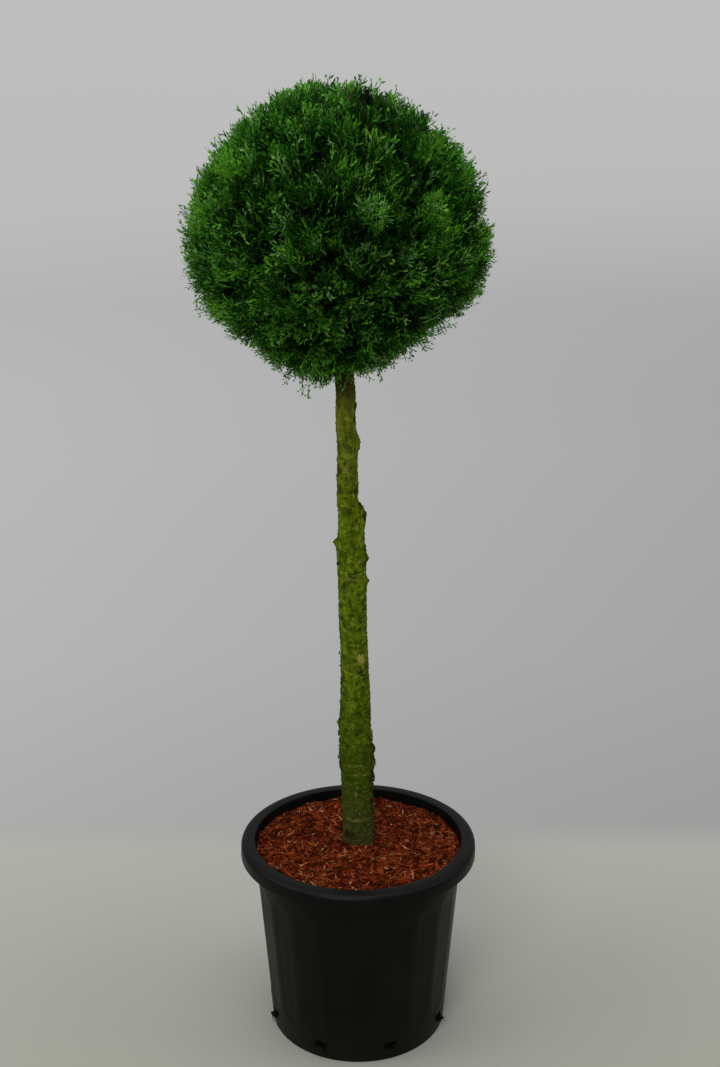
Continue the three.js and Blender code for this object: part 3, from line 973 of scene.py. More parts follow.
@dataclass
class Trunk:
    """The clear trunk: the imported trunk's centre line and girth, with bark relief, cuts and flakes."""

    columns: int = 128
    row_step: float = 1.5 * MM
    hidden_from: float = 1.13
    hidden_rows: int = 40
    swelling: float = 0.8 * MM
    fissures: float = 0.9 * MM
    scales: float = 0.75 * MM
    wrinkles: float = 0.4 * MM
    seed: int = 5
    sway_at: tuple[float, ...] = (0.40, 0.46, 0.52, 0.57, 0.65, 0.76, 0.88, 0.93, 0.965, 1.00, 1.06, 1.13)
    sway_mm: tuple[float, ...] = (1.2, 1.0, 0.0, 1.8, 0.8, 0.0, 0.0, 1.5, 2.4, 1.0, 1.9, 0.0)
    knots: tuple[Knot, ...] = tuple(Knot(*row) for row in KNOTS)

    def __post_init__(self) -> None:
        """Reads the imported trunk's rings: their heights, middles, and radii round each ring."""
        places = packed_vertices("trunk")
        levels, counts = np.unique(np.round(places[:, 2], 5), return_counts=True)
        full = counts.max()
        self.levels = levels[counts >= full - 1]
        rings = [places[np.abs(places[:, 2] - z) < 2e-5] for z in self.levels]
        self.middles = np.array([(ring.min(axis=0) + ring.max(axis=0))[:2] / 2 for ring in rings])
        self.turns = np.arange(full) * 2 * math.pi / full
        self.radii = np.array([self.ring_radii(ring, mid) for ring, mid in zip(rings, self.middles)])

    def ring_radii(self, ring: np.ndarray, middle: np.ndarray) -> np.ndarray:
        """A ring's radius at evenly spaced turns, between its own vertices."""
        off = ring[:, :2] - middle
        turn = np.arctan2(off[:, 1], off[:, 0])
        order = np.argsort(turn)
        return np.interp(self.turns, turn[order], np.hypot(*off[order].T), period=2 * math.pi)

    def middle_at(self, height: np.ndarray) -> np.ndarray:
        """The middle of the trunk at each height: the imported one, set over by the sway."""
        x, y = (np.interp(height, self.levels, column) for column in self.middles.T)
        x = x + np.interp(height, self.sway_at, np.array(self.sway_mm) * MM)
        return np.stack([x, y, height], axis=-1)

    def girth(self, height: np.ndarray, turn: np.ndarray) -> np.ndarray:
        """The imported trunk's radius at each height and turn, interpolated on both."""
        by_level = np.stack([np.interp(height, self.levels, column) for column in self.radii.T], axis=1)
        pitch = 2 * math.pi / len(self.turns)
        place = turn / pitch
        low = np.floor(place).astype(int) % len(self.turns)
        share = ease(0, 1, place - np.floor(place))
        return by_level[:, low] * (1 - share) + by_level[:, (low + 1) % len(self.turns)] * share

    def knot_share(self, knot: Knot, height: np.ndarray, turn: np.ndarray) -> np.ndarray:
        """A bell over height and turn round a knot: e to minus the square of the distance in half sizes."""
        off = turn - math.radians(knot.side)
        across = np.arctan2(np.sin(off), np.cos(off))[None, :] / math.radians(knot.wide)
        along = (height[:, None] - knot.height * MM) / (knot.tall * MM)
        return np.exp(-(across**2) - along**2)

    def build(self, bark: bpy.types.Material) -> bpy.types.Object:
        """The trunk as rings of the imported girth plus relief: undulation, fissures, ridges and knots."""
        low, high = self.levels[0], self.levels[-1]
        shown = np.arange(low, self.hidden_from, self.row_step)
        height = np.concatenate([shown, np.linspace(self.hidden_from, high, self.hidden_rows)])
        turn = np.arange(self.columns) * 2 * math.pi / self.columns
        radius = self.girth(height, turn)
        middle = self.middle_at(height)
        around = np.stack([np.cos(turn), np.sin(turn)], axis=-1)
        shape = radius.shape
        level = np.broadcast_to(height[:, None, None], (*shape, 1))
        spot = np.concatenate([radius[..., None] * around, level], axis=-1).reshape(-1, 3)

        def noise(across: int, along: int, octaves: int, seed: int) -> np.ndarray:
            """Noise over the bark at so many features to a metre round the trunk and along it."""
            places = spot * np.array([across, across, along])
            return layered_noise(places, octaves, self.seed + seed).reshape(shape)

        swell = noise(38, 16, 2, 0)
        fissure = np.abs(noise(190, 30, 3, 7))
        scale = noise(170, 300, 3, 20)
        wrinkle = noise(60, 330, 1, 40)
        relief = self.swelling * swell + self.fissures * (0.35 - fissure)
        relief = relief + self.scales * scale + self.wrinkles * wrinkle
        pale, dark = np.zeros(shape), np.zeros(shape)
        for knot in self.knots:
            share = self.knot_share(knot, height, turn)
            relief += knot.rise * MM * ease(0.05, 0.9, share) * (1 + 0.25 * scale)
            pale = np.maximum(pale, knot.pale * ease(0.25, 0.7, share + 0.25 * scale))
            dark = np.maximum(dark, knot.dark * ease(0.3, 0.75, share + 0.2 * scale))
        taper = ease(0, 0.35, high - height)[:, None]
        radius = radius + relief * np.minimum(taper, 1)
        ring = middle[:, None, :2] + radius[..., None] * around
        vertices = np.concatenate([ring, level], axis=-1)
        quads = grid_quads(len(height), self.columns, wrap=True)
        last = (len(height) - 1) * self.columns
        caps = np.stack([np.arange(self.columns)[::-1], last + np.arange(self.columns)])
        skin = Skin(vertices.reshape(-1, 3), [quads, caps])
        piece = make_piece("trunk_bark", skin, bark, smooth=True)
        add_values(piece, "pale_mark", pale.ravel())
        add_values(piece, "dark_mark", dark.ravel())
        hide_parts("trunk")
        return piece

    def flakes(self, finish: bpy.types.Material) -> bpy.types.Object:
        """Loose flakes of bark that lift off the trunk: most along both sides low down, some anywhere."""
        rng = np.random.default_rng(self.seed + 60)
        # Of each group of flakes: how many, the mean and spread of height and of side, and the most lift.
        groups = (
            (30, 0.472, 0.030, 354, 14, 2.6 * MM),
            (14, 0.430, 0.012, 356, 14, 3.4 * MM),
            (12, 0.395, 0.030, 350, 14, 1.5 * MM),
            (14, 0.515, 0.022, 182, 14, 1.5 * MM),
            (8, 0.462, 0.012, 186, 12, 1.5 * MM),
            (12, 0.869, 0.010, 350, 22, 0.4 * MM),
            (26, 1.055, 0.016, 270, 90, 0.3 * MM),
            (80, 0.680, 0.190, 200, 120, 0.4 * MM),
        )
        height = np.concatenate([rng.normal(z, spread, n) for n, z, spread, *_ in groups])
        turn = np.radians(np.concatenate([rng.normal(side, wide, n) for n, _, _, side, wide, _ in groups]))
        lift = np.concatenate([rng.uniform(-0.8 * MM, most, n) for n, *_, most in groups])
        height = np.clip(height, 0.33, 1.08)
        count = len(height)
        low = np.floor(turn / (2 * math.pi) * len(self.turns)).astype(int) % len(self.turns)
        girth = np.array([np.interp(z, self.levels, radii) for z, radii in zip(height, self.radii.T[low])])
        out = np.stack([np.cos(turn), np.sin(turn), 0 * turn], axis=-1)
        across = np.stack([-np.sin(turn), np.cos(turn), 0 * turn], axis=-1)
        tipped_out = rng.normal(0, 0.22, count)[:, None] * out
        tipped_over = rng.normal(0, 0.35, count)[:, None] * across
        along = unit(UP + tipped_out + tipped_over)
        flat = unit(np.cross(along, out))
        roll = rng.normal(0, 0.45, count)[:, None]
        side = unit(flat * np.cos(roll) + np.cross(along, flat) * np.sin(roll))
        length = rng.uniform(4 * MM, 11 * MM, count)
        width = rng.uniform(2 * MM, 5 * MM, count)
        centre = self.middle_at(height) + out * (girth + lift)[:, None]
        thick = np.full(count, 0.9 * MM)
        skin = Slivers(centre, along, side, length, width, thick, rng.normal(0, 0.15, count)).skin()
        return make_piece("bark_flakes", skin, finish, smooth=False)


# Ball ---------------------------------------------------------------------------------------------


@dataclass(frozen=True)
class Sprig:
    """A shoot that the shears missed: turn and lift in degrees, reach past the outline and length in mm."""

    turn: float
    lift: float
    past: float
    length: float


@dataclass(frozen=True)
class Lobe:
    """A swelling or hollow of the outline: its turn and lift in degrees, rise in mm, and half width."""

    turn: float
    lift: float
    rise: float
    spread: float = 24.0


@dataclass(frozen=True)
class SprayForm:
    """How a flat spray branches, with lengths as shares of the spray's own length."""

    shoots: int
    first: float
    lean: float
    reach: float
    fork_step: float
    fork: float
    width: float = 0.0275
    young_from: float = 0.66

    def shape(self, rng: np.random.Generator) -> tuple[Skin, Skin]:
        """One flat spray of unit length: an axis, shoots left and right of it, and their forks.

        A shoot leaves the axis at the lean angle, bends forward halfway, and ends at the shears' line
        across the tip of the axis or at its own reach, whichever comes first.

        Args:
            rng: the source of its irregularities.

        Returns:
            The old part and the young tips, as blades whose corners are along, across and out of the plane.
        """
        sway = rng.normal(0, 0.05)
        middle, end = np.array([0.5, sway]), np.array([1.0, sway * rng.uniform(-0.5, 1.5)])
        blades = [
            self.kite(np.zeros(2), middle * 1.1, self.width * 1.15, rng),
            self.kite(middle * 0.9, (middle + end) / 2, self.width * 1.15, rng),
            self.kite(middle * 0.55 + end * 0.45, end, self.width, rng),
        ]
        side = 1 if rng.random() < 0.5 else -1
        for at in np.linspace(self.first, 0.93, self.shoots) + rng.normal(0, 0.012, self.shoots):
            side = -side
            foot = self.on_bend(np.zeros(2), middle, end, at)
            lean = math.radians(self.lean * (1.1 - 0.3 * at) + rng.normal(0, 5))
            length = min(self.reach * rng.uniform(0.6, 1.15), (1.0 - at) / math.cos(lean * 0.7) + 0.05)
            elbow = foot + self.way(lean, side) * length * 0.5
            tip = elbow + self.way(lean * rng.uniform(0.1, 1.3), side) * length * 0.5
            blades.append(self.kite(foot, elbow * 1.1 - foot * 0.1, self.width, rng))
            blades.append(self.kite(elbow * 0.85 + foot * 0.15, tip, self.width, rng))
            for number in range(int(length / self.fork_step)):
                share = (number + rng.uniform(0.6, 1.1)) * self.fork_step / length
                if share > 0.88:
                    continue
                base = self.on_bend(foot, elbow, tip, share)
                turn = lean * (1.0 - 0.6 * share) + math.radians((-1) ** number * rng.uniform(24, 38))
                size = min(self.fork, length * (1.05 - share)) * rng.uniform(0.7, 1.1)
                blades.append(self.kite(base, base + self.way(turn, side) * size, self.width * 0.9, rng))
        corners = np.array(blades)
        young = corners[:, 2, 0] > self.young_from
        return self.of_blades(corners[~young]), self.of_blades(corners[young])

    @staticmethod
    def on_bend(start: np.ndarray, bend: np.ndarray, end: np.ndarray, share: float) -> np.ndarray:
        """The place at a share of the way from start over bend to end."""
        if share < 0.5:
            return start + (bend - start) * share * 2
        return bend + (end - bend) * (share * 2 - 1)

    @staticmethod
    def of_blades(corners: np.ndarray) -> Skin:
        """Blades given as (blades, 4, 3) corners, as one skin."""
        return Skin(corners.reshape(-1, 3), [np.arange(4 * len(corners)).reshape(-1, 4)])

    @staticmethod
    def way(lean: float, side: int) -> np.ndarray:
        """The direction that leans off the axis to one side."""
        return np.array([math.cos(lean), side * math.sin(lean)])

    @staticmethod
    def kite(foot: np.ndarray, tip: np.ndarray, width: float, rng: np.random.Generator) -> np.ndarray:
        """A blade as four corners, widest past its middle, tilted and raised out of the plane at random."""
        way = unit(tip - foot)
        across = np.array([-way[1], way[0]]) * width / 2
        middle = foot + (tip - foot) * 0.55
        tilt = rng.normal(0, 0.5) * width
        rise = rng.normal(0, 0.012)
        flat = np.array([foot, middle - across, tip, middle + across])
        return np.column_stack([flat, [0, rise - tilt, rise * 2, rise + tilt]])


class Growth(Enum):
    """The forms of spray: clipped square at the tip, free and wide, and thin with few shoots."""

    CLIPPED = SprayForm(shoots=8, first=0.24, lean=35, reach=0.44, fork_step=0.15, fork=0.22)
    FREE = SprayForm(shoots=8, first=0.22, lean=45, reach=0.37, fork_step=0.14, fork=0.20)
    WISP = SprayForm(shoots=6, first=0.28, lean=36, reach=0.26, fork_step=0.13, fork=0.17, width=0.029)


Places = dict[str, np.ndarray]


@dataclass
class ClippedBall:
    """The crown: boughs from the trunk, branches, twigs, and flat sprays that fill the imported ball."""

    trunk: Trunk
    boughs: int = 34
    branches: int = 240
    twigs: int = 2600
    sprays: int = 15600
    tufts: int = 300
    pits: int = 150
    drawings: int = 8
    outline_blend: float = 0.004
    bough_heights: tuple[float, float] = (1.10, 1.40)
    bough_reach: float = 0.42
    branch_reach: float = 0.62
    twig_reach: tuple[float, float] = (0.66, 0.84)
    droop: float = 0.012
    tuft_hollow: float = 15 * MM
    pit_depth: float = 20 * MM
    middle_from: float = 0.52
    middle_depth: tuple[float, float] = (10 * MM, 30 * MM)
    inner_from: float = 0.86
    inner_depth: tuple[float, float] = (32 * MM, 64 * MM)
    stray_share: float = 0.05
    clipped_share: float = 0.55
    splay: float = 2.2
    spray_length: tuple[float, float] = (34 * MM, 56 * MM)
    kept_length: tuple[float, float] = (20 * MM, 72 * MM)
    trunk_clear: float = 20 * MM
    # The steps between the greens of painted shade and light, and the painted shade that a spray takes for
    # each metre it lies under the outline.
    tint_steps: tuple[float, ...] = (-0.95, -0.35, 0.22)
    painted_shade_by_depth: float = 46.0
    yellow_share: float = 0.045
    dry_from: float = 0.997
    seed: int = 23
    lobes: tuple[Lobe, ...] = (
        Lobe(0, 22, 6),
        Lobe(0, 52, 5),
        Lobe(180, -86, 24, 11),
        Lobe(0, -14, 8, 16),
        Lobe(0, -48, -6),
        Lobe(180, -42, -6),
        Lobe(0, 16, 4, 14),
    )
    sprigs: tuple[Sprig, ...] = (
        Sprig(180, 52, 14, 58),
        Sprig(180, 46, 5, 50),
        Sprig(2, -10, 4, 60),
        Sprig(-4, 41, 7, 55),
        Sprig(182, -26, 10, 60),
        Sprig(186, -30, 12, 58),
        Sprig(176, -33, 10, 62),
        Sprig(0, -50, 14, 66),
        Sprig(-8, -58, 12, 60),
        Sprig(-12, -72, 16, 60),
        Sprig(20, -76, 14, 56),
        Sprig(190, -80, 14, 55),
        Sprig(170, -78, 18, 55),
        Sprig(200, -70, 12, 55),
        Sprig(90, 20, 10, 60),
        Sprig(60, -40, 10, 60),
        Sprig(130, 50, 10, 60),
    )

    def __post_init__(self) -> None:
        """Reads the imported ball's outline as the radius of each of its outer vertices."""
        low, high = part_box("foliage_ball")
        self.centre = (np.array(low) + np.array(high)) / 2
        off = packed_vertices("foliage_ball") - self.centre
        far = np.linalg.norm(off, axis=1)
        outer = far > 0.85 * far.max()
        self.outline_directions = unit(off[outer])
        self.outline_radii = far[outer]
        self.rng = np.random.default_rng(self.seed)

    def reach(self, directions: np.ndarray) -> np.ndarray:
        """The outline's radius in each direction: a mean over the ball's near vertices, plus lobes."""
        radii = []
        for start in range(0, len(directions), BLOCK):
            closeness = directions[start : start + BLOCK] @ self.outline_directions.T
            weight = np.exp((closeness - 1) / self.outline_blend)
            radii.append((weight @ self.outline_radii) / weight.sum(axis=1))
        total = np.concatenate(radii)
        for lobe in self.lobes:
            off = self.angle(directions, aimed(lobe.turn, lobe.lift)) / math.radians(lobe.spread)
            total += lobe.rise * MM * np.exp(-(off**2))
        return total

    @staticmethod
    def angle(first: np.ndarray, second: np.ndarray) -> np.ndarray:
        """The angle between unit vectors, in radians."""
        return np.arccos(np.clip((first * second).sum(axis=1), -1, 1))

    @staticmethod
    def curved(start: np.ndarray, end: np.ndarray, lead: np.ndarray, points: int) -> np.ndarray:
        """Limbs from start to end that set off along lead: quadratic curves that bend near their middle."""
        span = np.linalg.norm(end - start, axis=1, keepdims=True)
        bend = start + lead * span * 0.45
        t = np.linspace(0, 1, points)[None, :, None]
        return quadratic(start[:, None], bend[:, None], end[:, None], t)

    def limbs(self) -> tuple[Skin, Skin, np.ndarray]:
        """The branching rule: each order starts on the nearest limb of the last and ends further out.

        Boughs leave the trunk below their ends, so they rise; branches and twigs turn outwards.

        Returns:
            The boughs with their branches, the twigs, and the (twigs, 3) ends of the twigs.
        """
        rng = self.rng
        bough_way = even_directions(self.boughs, 0.25, rng)
        bough_end = self.centre + bough_way * (self.bough_reach * self.reach(bough_way))[:, None]
        rise = rng.uniform(0.03, 0.10, self.boughs)
        foot_height = np.clip(bough_end[:, 2] - rise, *self.bough_heights)
        bough_foot = self.trunk.middle_at(foot_height)
        outward = unit((bough_end - bough_foot) * np.array([1, 1, 0.2]))
        boughs = self.curved(bough_foot, bough_end, unit(outward + 0.35 * UP), 9)
        bough_radii = np.linspace(5.5 * MM, 3.2 * MM, 9)[None] * rng.uniform(0.75, 1.2, (self.boughs, 1))
        branch_way = even_directions(self.branches, 0.3, rng)
        branch_end = self.centre + branch_way * (self.branch_reach * self.reach(branch_way))[:, None]
        branch_end = branch_end - self.droop * UP
        mother = nearest(branch_end - 0.02 * UP, bough_end)
        branch_foot = boughs[mother, rng.integers(4, 9, self.branches)]
        lead = unit(boughs[mother, -1] - boughs[mother, -3])
        branches = self.curved(branch_foot, branch_end, lead, 7)
        branch_radii = np.repeat(np.linspace(2.9 * MM, 1.7 * MM, 7)[None], self.branches, 0)
        twig_way = even_directions(self.twigs, 0.35, rng)
        depth = rng.uniform(*self.twig_reach, self.twigs)
        twig_end = self.centre + twig_way * (depth * self.reach(twig_way))[:, None]
        twig_end = twig_end - self.droop * UP * (1 + 0.8 * twig_way[:, 2:])
        parent = nearest(twig_end, branch_end)
        twig_foot = branches[parent, rng.integers(3, 7, self.twigs)]
        lead = unit(branches[parent, -1] - branches[parent, -3])
        twigs = self.curved(twig_foot, twig_end, lead, 4)
        twig_radii = np.repeat(np.linspace(1.5 * MM, 0.9 * MM, 4)[None], self.twigs, 0)
        wood = joined([tapered_limbs(boughs, bough_radii, 8), tapered_limbs(branches, branch_radii, 6)])
        return wood, tapered_limbs(twigs, twig_radii, 4), twig_end

    def spray_places(self, twig_end: np.ndarray) -> Places:
        """Where each spray grows: from the twig end that suits its tip, out to the clipped outline.

        Tips lie a little under the outline. They follow tufts, whose sprays splay from the middle of
        the tuft: between tufts they lie deeper, and deeper still in pits, which leaves dark hollows.
        A share of the sprays ends further inside. Sprays that come out too short or long, or that
        would end against the trunk, are left out.

        Returns:
            The tip, foot, outward direction, depth, tuft and growth form of each spray, which drawing
            of its form it follows, and how it is spun, spread, bent, cupped and sagged.
        """
        rng = self.rng
        count = self.sprays
        way = even_directions(count, 0.5, rng)[rng.permutation(count)]
        tuft_way = even_directions(self.tufts, 0.35, rng)
        tuft = nearest(way, tuft_way)
        off = self.angle(way, tuft_way[tuft])
        hollow = ease(0.07, 0.15, off) * self.tuft_hollow + rng.uniform(-2 * MM, 7 * MM, self.tufts)[tuft]
        pit_way = even_directions(self.pits, 0.8, rng)
        pit = nearest(way, pit_way)
        in_pit = self.angle(way, pit_way[pit]) < rng.uniform(0.02, 0.05, self.pits)[pit]
        hollow += np.where(in_pit, self.pit_depth, 0)
        low = ease(0.2, 0.95, -way[:, 2])
        hollow += low * 3 * MM
        layer = rng.random(count)
        depth = np.abs(rng.normal(0, 6 * MM, count)) + hollow
        depth = np.where(layer > self.middle_from, hollow + rng.uniform(*self.middle_depth, count), depth)
        depth = np.where(layer > self.inner_from, rng.uniform(*self.inner_depth, count), depth)
        stray = (rng.random(count) < self.stray_share) & ~in_pit
        depth = np.where(stray, -rng.uniform(-3 * MM, 9 * MM, count), depth)
        tip = self.centre + way * (self.reach(way) - depth)[:, None]
        lift = 0.5 * (1 + 0.5 * way[:, 2:])
        splay = self.splay * (way - tuft_way[tuft])
        aim = unit(way + lift * UP + splay + rng.normal(0, 0.32, (count, 3)))
        length = rng.uniform(*self.spray_length, count)
        foot = twig_end[nearest(tip - aim * length[:, None], twig_end)]
        foot = foot + rng.normal(0, 4 * MM, foot.shape)
        form = np.where(rng.random(count) < self.clipped_share, 0, 1)
        form = np.where(stray | (rng.random(count) < 0.25 * low), 2, form)
        stray_way, stray_tip, stray_foot = self.sprig_places()
        extra = len(stray_tip)
        total = count + extra
        tip = np.concatenate([tip, stray_tip])
        foot = np.concatenate([foot, stray_foot])
        size = np.linalg.norm(tip - foot, axis=1)
        near_trunk = np.linalg.norm((tip - self.trunk.middle_at(tip[:, 2]))[:, :2], axis=1) < self.trunk_clear
        near_trunk &= tip[:, 2] < self.centre[2]
        shortest, longest = self.kept_length
        keep = (size > shortest) & (size < longest) & ~near_trunk
        everything = {
            "tip": tip,
            "foot": foot,
            "way": np.concatenate([way, stray_way]),
            "depth": np.concatenate([depth, np.zeros(extra)]),
            "tuft": np.concatenate([tuft, np.zeros(extra, int)]),
            "form": np.concatenate([form, np.full(extra, 2)]),
            "drawing": rng.integers(0, self.drawings, total),
            "spin": rng.normal(0, math.radians(65), total),
            "spread": rng.uniform(0.75, 1.25, total),
            "bend": rng.normal(0, 0.16, total),
            "cup": rng.normal(0, 0.5, total),
            "sag": rng.uniform(0.05, 0.4, total),
        }
        return {key: values[keep] for key, values in everything.items()}

    def sprig_places(self) -> tuple[np.ndarray, np.ndarray, np.ndarray]:
        """Directions, tips and feet of the sprigs that stand past the outline."""
        turn, lift, past, length = np.array([(s.turn, s.lift, s.past, s.length) for s in self.sprigs]).T
        way = aimed(turn, lift)
        tip = self.centre + way * (self.reach(way) + past * MM)[:, None]
        return way, tip, tip - unit(way + 0.25 * UP * np.sign(way[:, 2:])) * length[:, None] * MM

    def grown_sprays(self, places: Places, chosen: np.ndarray, shapes: list[list[Skin]]) -> Skin:
        """The chosen sprays, each the drawing of its form and number put down at its place."""
        skins = []
        for form, drawings in enumerate(shapes):
            for number, shape in enumerate(drawings):
                picked = chosen[(places["form"][chosen] == form) & (places["drawing"][chosen] == number)]
                if len(picked):
                    part = {key: values[picked] for key, values in places.items()}
                    skins.append(self.placed(shape, part))
        return joined(skins)

    @staticmethod
    def placed(shape: Skin, places: Places) -> Skin:
        """One drawing put down from each foot to its tip.

        A corner at along u, across v and out w goes to foot + L(u a + v s + w n). It is pushed along n
        by bend * (u squared - u) and by cup * v squared, and along Z by sag * (u squared - u), so
        that a spray is a curved fan whose tip turns up.
        """
        foot, tip = places["foot"], places["tip"]
        ways = ("spin", "spread", "bend", "cup", "sag")
        spin, spread, bend, cup, sag = (places[key][:, None] for key in ways)
        size = np.linalg.norm(tip - foot, axis=1)[:, None, None]
        along = unit(tip - foot)
        level = unit(np.cross(along, UP) + 1e-6)
        out = level * np.cos(spin) + np.cross(along, level) * np.sin(spin)
        side = np.cross(out, along)
        u, v, w = (shape.vertices[None, :, axis] for axis in range(3))
        v = v * spread
        arc = u * u - u
        w = w + bend * arc + cup * v * v
        corner = u[..., None] * along[:, None] + v[..., None] * side[:, None] + w[..., None] * out[:, None]
        corner = corner + (sag * arc)[..., None] * UP
        vertices = foot[:, None] + corner * size
        starts = (np.arange(len(foot)) * len(shape.vertices))[:, None, None]
        blocks = [(block[None] + starts).reshape(-1, block.shape[1]) for block in shape.polygons]
        return Skin(vertices.reshape(-1, 3), blocks)

    def tints(self, places: Places) -> np.ndarray:
        """Deals a tint to each spray by painted light and shade: lighter round the sides and to the left,
        darker overhead and the deeper the spray lies, with random tone by tuft and by spray.
        """
        rng = self.rng
        way, depth = places["way"], places["depth"]
        tuft_tint = rng.normal(0, 0.24, self.tufts)[places["tuft"]]
        # Painted light and shade: lighter at the sides of the ball and to the left, darker overhead and with
        # depth under the outline.
        edge = 1 - np.abs(way[:, 1])
        bright = 0.06 - 0.4 * np.maximum(way[:, 2], 0) - 0.1 * way[:, 0] + 0.55 * edge + tuft_tint
        bright = bright - self.painted_shade_by_depth * np.maximum(depth, 0) + rng.normal(0, 0.32, len(way))
        tint = np.digitize(bright, self.tint_steps)
        odd = rng.random(len(way))
        yellow = self.yellow_share
        tint = np.where((odd < yellow) & (bright > -0.2), YELLOW, tint)
        # Painted sheen: some sprays take the grey-green that stands in for reflected sky, more of them below
        # the top of the ball.
        sheen_share = 0.08 + 0.10 * (way[:, 2] < 0.3)
        tint = np.where((odd > yellow) & (odd < yellow + sheen_share) & (bright > -0.5), PAINTED_SHEEN, tint)
        return np.where(odd > self.dry_from, DRY, tint)

    def build(self) -> None:
        """Grows the wood and the sprays, and splits each tint into pieces under the triangle limit."""
        twig_bark = TwigFinish().build()
        wood, twigs, twig_end = self.limbs()
        first = make_piece("boughs", wood, twig_bark, smooth=True)
        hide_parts("foliage_ball")
        make_piece("twigs", twigs, twig_bark, smooth=True)
        places = self.spray_places(twig_end)
        rng = np.random.default_rng(self.seed + 1)
        shapes = [[growth.value.shape(rng) for _ in range(self.drawings)] for growth in Growth]
        young_tint = self.tints(places)
        # The older growth behind each tip takes a darker tint: partly its own tone, partly painted shade.
        old_tint = OLDER[young_tint]
        for number, kind in enumerate(LeafTint):
            material = kind.value.build()
            for age, tint in enumerate((old_tint, young_tint)):
                drawings = [[pair[age] for pair in form] for form in shapes]
                largest = max(skin.triangles() for form in drawings for skin in form)
                chosen = np.flatnonzero(tint == number)
                if not len(chosen):
                    continue
                parts = math.ceil(len(chosen) * largest / PIECE_TRIANGLES)
                for part, share in enumerate(np.array_split(chosen, parts)):
                    name = f"{kind.value.name}_{('inner', 'tips')[age]}_{part + 1}"
                    skin = self.grown_sprays(places, share, drawings)
                    make_piece(name, skin, material, smooth=False)


# Studio -------------------------------------------------------------------------------------------


@dataclass
class SoftBox:
    """A large soft light: its place, the place that it faces, its width and its power in watts."""

    name: str
    place: tuple[float, float, float]
    aim: tuple[float, float, float]
    width: float
    power: float

    def build(self) -> None:
        """Makes the light, square and hidden from the camera."""
        light = bpy.data.lights.new(self.name, "AREA")
        light.shape = "SQUARE"
        light.size = self.width
        light.energy = self.power
        lamp = bpy.data.objects.new(self.name, light)
        lamp.location = self.place
        lamp.rotation_euler = (Vector(self.aim) - Vector(self.place)).to_track_quat("-Z", "Y").to_euler()
        lamp.visible_camera = False
        bpy.context.scene.collection.objects.link(lamp)


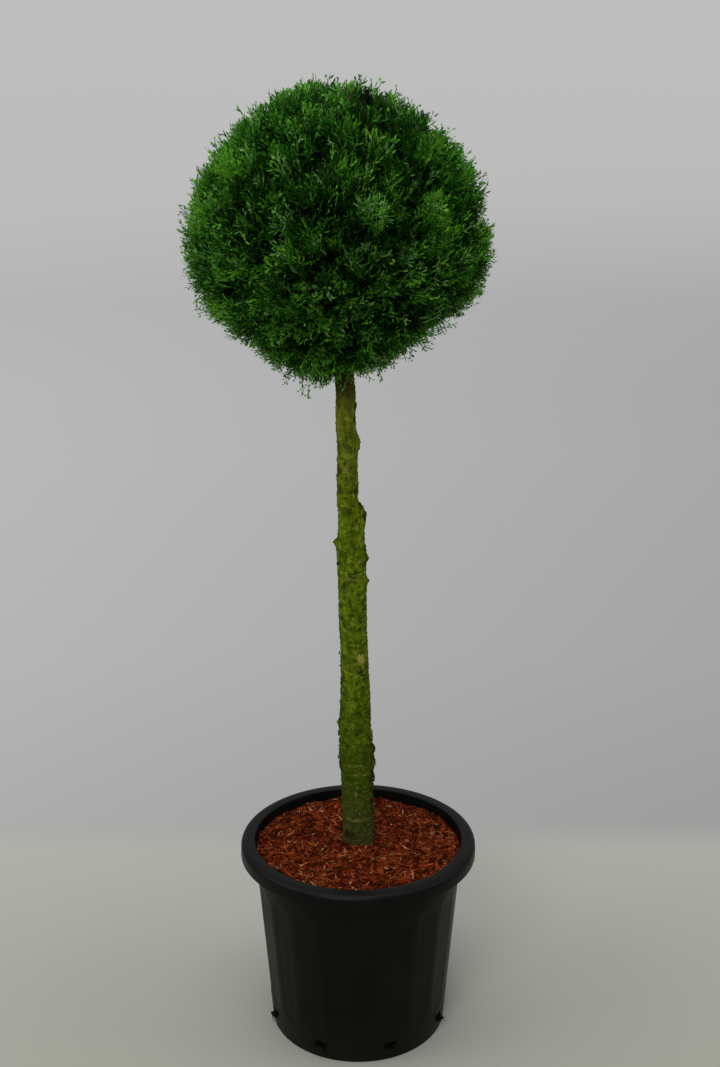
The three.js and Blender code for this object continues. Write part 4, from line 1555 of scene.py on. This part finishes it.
@dataclass
class Studio:
    """A pale floor, a backdrop of light, soft lights and the camera; floor and backdrop carry painted shade.
    """

    camera_place: tuple[float, float, float] = (0.003, -1.994, 1.408)
    camera_pitch: float = math.radians(90 - 15.886)
    lens: float = 45.55
    floor_back: float = 0.68
    floor_front: float = -6.0
    floor_half_width: float = 6.0
    # The backdrop's grey by the height of the view, with painted shade making it darker towards the floor.
    grey_at: tuple[float, ...] = (0.0, 0.045, 0.145, 0.286, 0.394, 0.465, 0.573, 1.0)
    greys: tuple[int, ...] = (161, 164, 172, 176, 175, 186, 189, 186)
    dome_least: float = 0.30
    dome_top: float = 0.5
    dome_back: float = 0.4
    # How strong the painted light and shade low on the backdrop is, lighter to the left and darker to the
    # right, and how quickly it grows below the horizon.
    painted_side_shade: float = 0.4
    painted_side_fade: float = 6.0

    def camera(self) -> None:
        """The camera at standing eye height, tipped down at the plant."""
        data = bpy.data.cameras.new("camera")
        data.lens = self.lens
        data.sensor_width = 36.0
        camera = bpy.data.objects.new("camera", data)
        camera.location = self.camera_place
        camera.rotation_euler = (self.camera_pitch, 0, 0)
        bpy.context.scene.collection.objects.link(camera)
        bpy.context.scene.camera = camera

    def floor(self) -> None:
        """The floor: one flat sheet that ends behind the plant."""
        half, front, back = self.floor_half_width, self.floor_front, self.floor_back
        corners = np.array([[-half, front, 0], [half, front, 0], [half, back, 0], [-half, back, 0.0]])
        mesh = bpy.data.meshes.new("floor")
        mesh.from_pydata(corners.tolist(), [], [(0, 1, 2, 3)])
        mesh.materials.append(FloorFinish().build())
        floor = bpy.data.objects.new("floor", mesh)
        bpy.context.scene.collection.objects.link(floor)

    def backdrop(self) -> None:
        """The surroundings: to the eye a grey with painted shade that darkens it towards the floor, low down
        lighter to the left and darker to the right, and as light a soft dome.

        The dome is brightest overhead and behind the plant and dimmest in front of it and below.
        """
        world = bpy.data.worlds.new("backdrop")
        bpy.context.scene.world = world
        world.use_nodes = True
        nodes = Nodes(world.node_tree)
        direction = nodes.add("TexCoord").outputs["Generated"]
        across, ahead, high = nodes.add("SeparateXYZ", {"Vector": direction}).outputs
        ramp = nodes.add("ValToRGB", {"Fac": nodes.plus(high, 0.5)})
        elements = ramp.color_ramp.elements
        for _ in self.grey_at[2:]:
            elements.new(0.5)
        for element, place, shade in zip(elements, self.grey_at, self.greys):
            element.position = place
            element.color = srgb(shade, shade + 1, shade)
        # Painted light and shade on the backdrop below the horizon: lighter to the left, darker to the right.
        below = nodes.maths("MAXIMUM", nodes.times(high, -self.painted_side_fade), 0.0)
        low = nodes.maths("MINIMUM", below, 1.0)
        side = nodes.maths("SUBTRACT", 1.0, nodes.times(nodes.times(across, low), self.painted_side_shade))
        dome = nodes.plus(self.dome_least, nodes.times(nodes.maths("MAXIMUM", high, 0.0), self.dome_top))
        dome = nodes.plus(dome, nodes.times(nodes.maths("MAXIMUM", ahead, 0.0), self.dome_back))
        seen = nodes.add("LightPath").outputs["Is Camera Ray"]
        lit = nodes.times(nodes.maths("SUBTRACT", 1.0, seen), dome)
        background = world.node_tree.nodes["Background"].inputs
        nodes.feed(background["Color"], ramp.outputs["Color"])
        nodes.feed(background["Strength"], nodes.plus(nodes.times(seen, side), lit))

    def build(self) -> None:
        """Sets up the whole studio."""
        bpy.context.scene.view_settings.view_transform = "Standard"
        self.camera()
        self.floor()
        self.backdrop()
        middle = (0.0, 0.0, 1.0)
        for box in (
            SoftBox("overhead", (-0.1, -0.2, 3.3), (0.0, 0.0, 0.8), 2.2, 47.0),
            SoftBox("side_left", (-2.4, -0.5, 2.0), middle, 1.6, 21.0),
            SoftBox("side_right", (2.5, -0.3, 1.9), middle, 1.6, 15.0),
            SoftBox("front_fill", (-0.9, -3.2, 2.7), middle, 1.6, 62.0),
        ):
            box.build()


def main() -> None:
    """Builds the studio, the pot and what fills it, the trunk and the ball."""
    logging.basicConfig(level=logging.INFO, format="%(message)s")
    Studio().build()
    soil = SoilFinish().build()
    pot = NurseryPot()
    pot.build(PlasticFinish().build())
    pot.roots(soil)
    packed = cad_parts["potting_mix"]
    packed.data.materials.clear()
    packed.data.materials.append(soil)
    BarkMulch().build()
    trunk = Trunk()
    trunk.build(BarkFinish().build())
    trunk.flakes(MulchFinish("flake_bark", srgb(34, 32, 12), srgb(84, 86, 34)).build())
    ClippedBall(trunk).build()


if __name__ == "__main__":
    main()
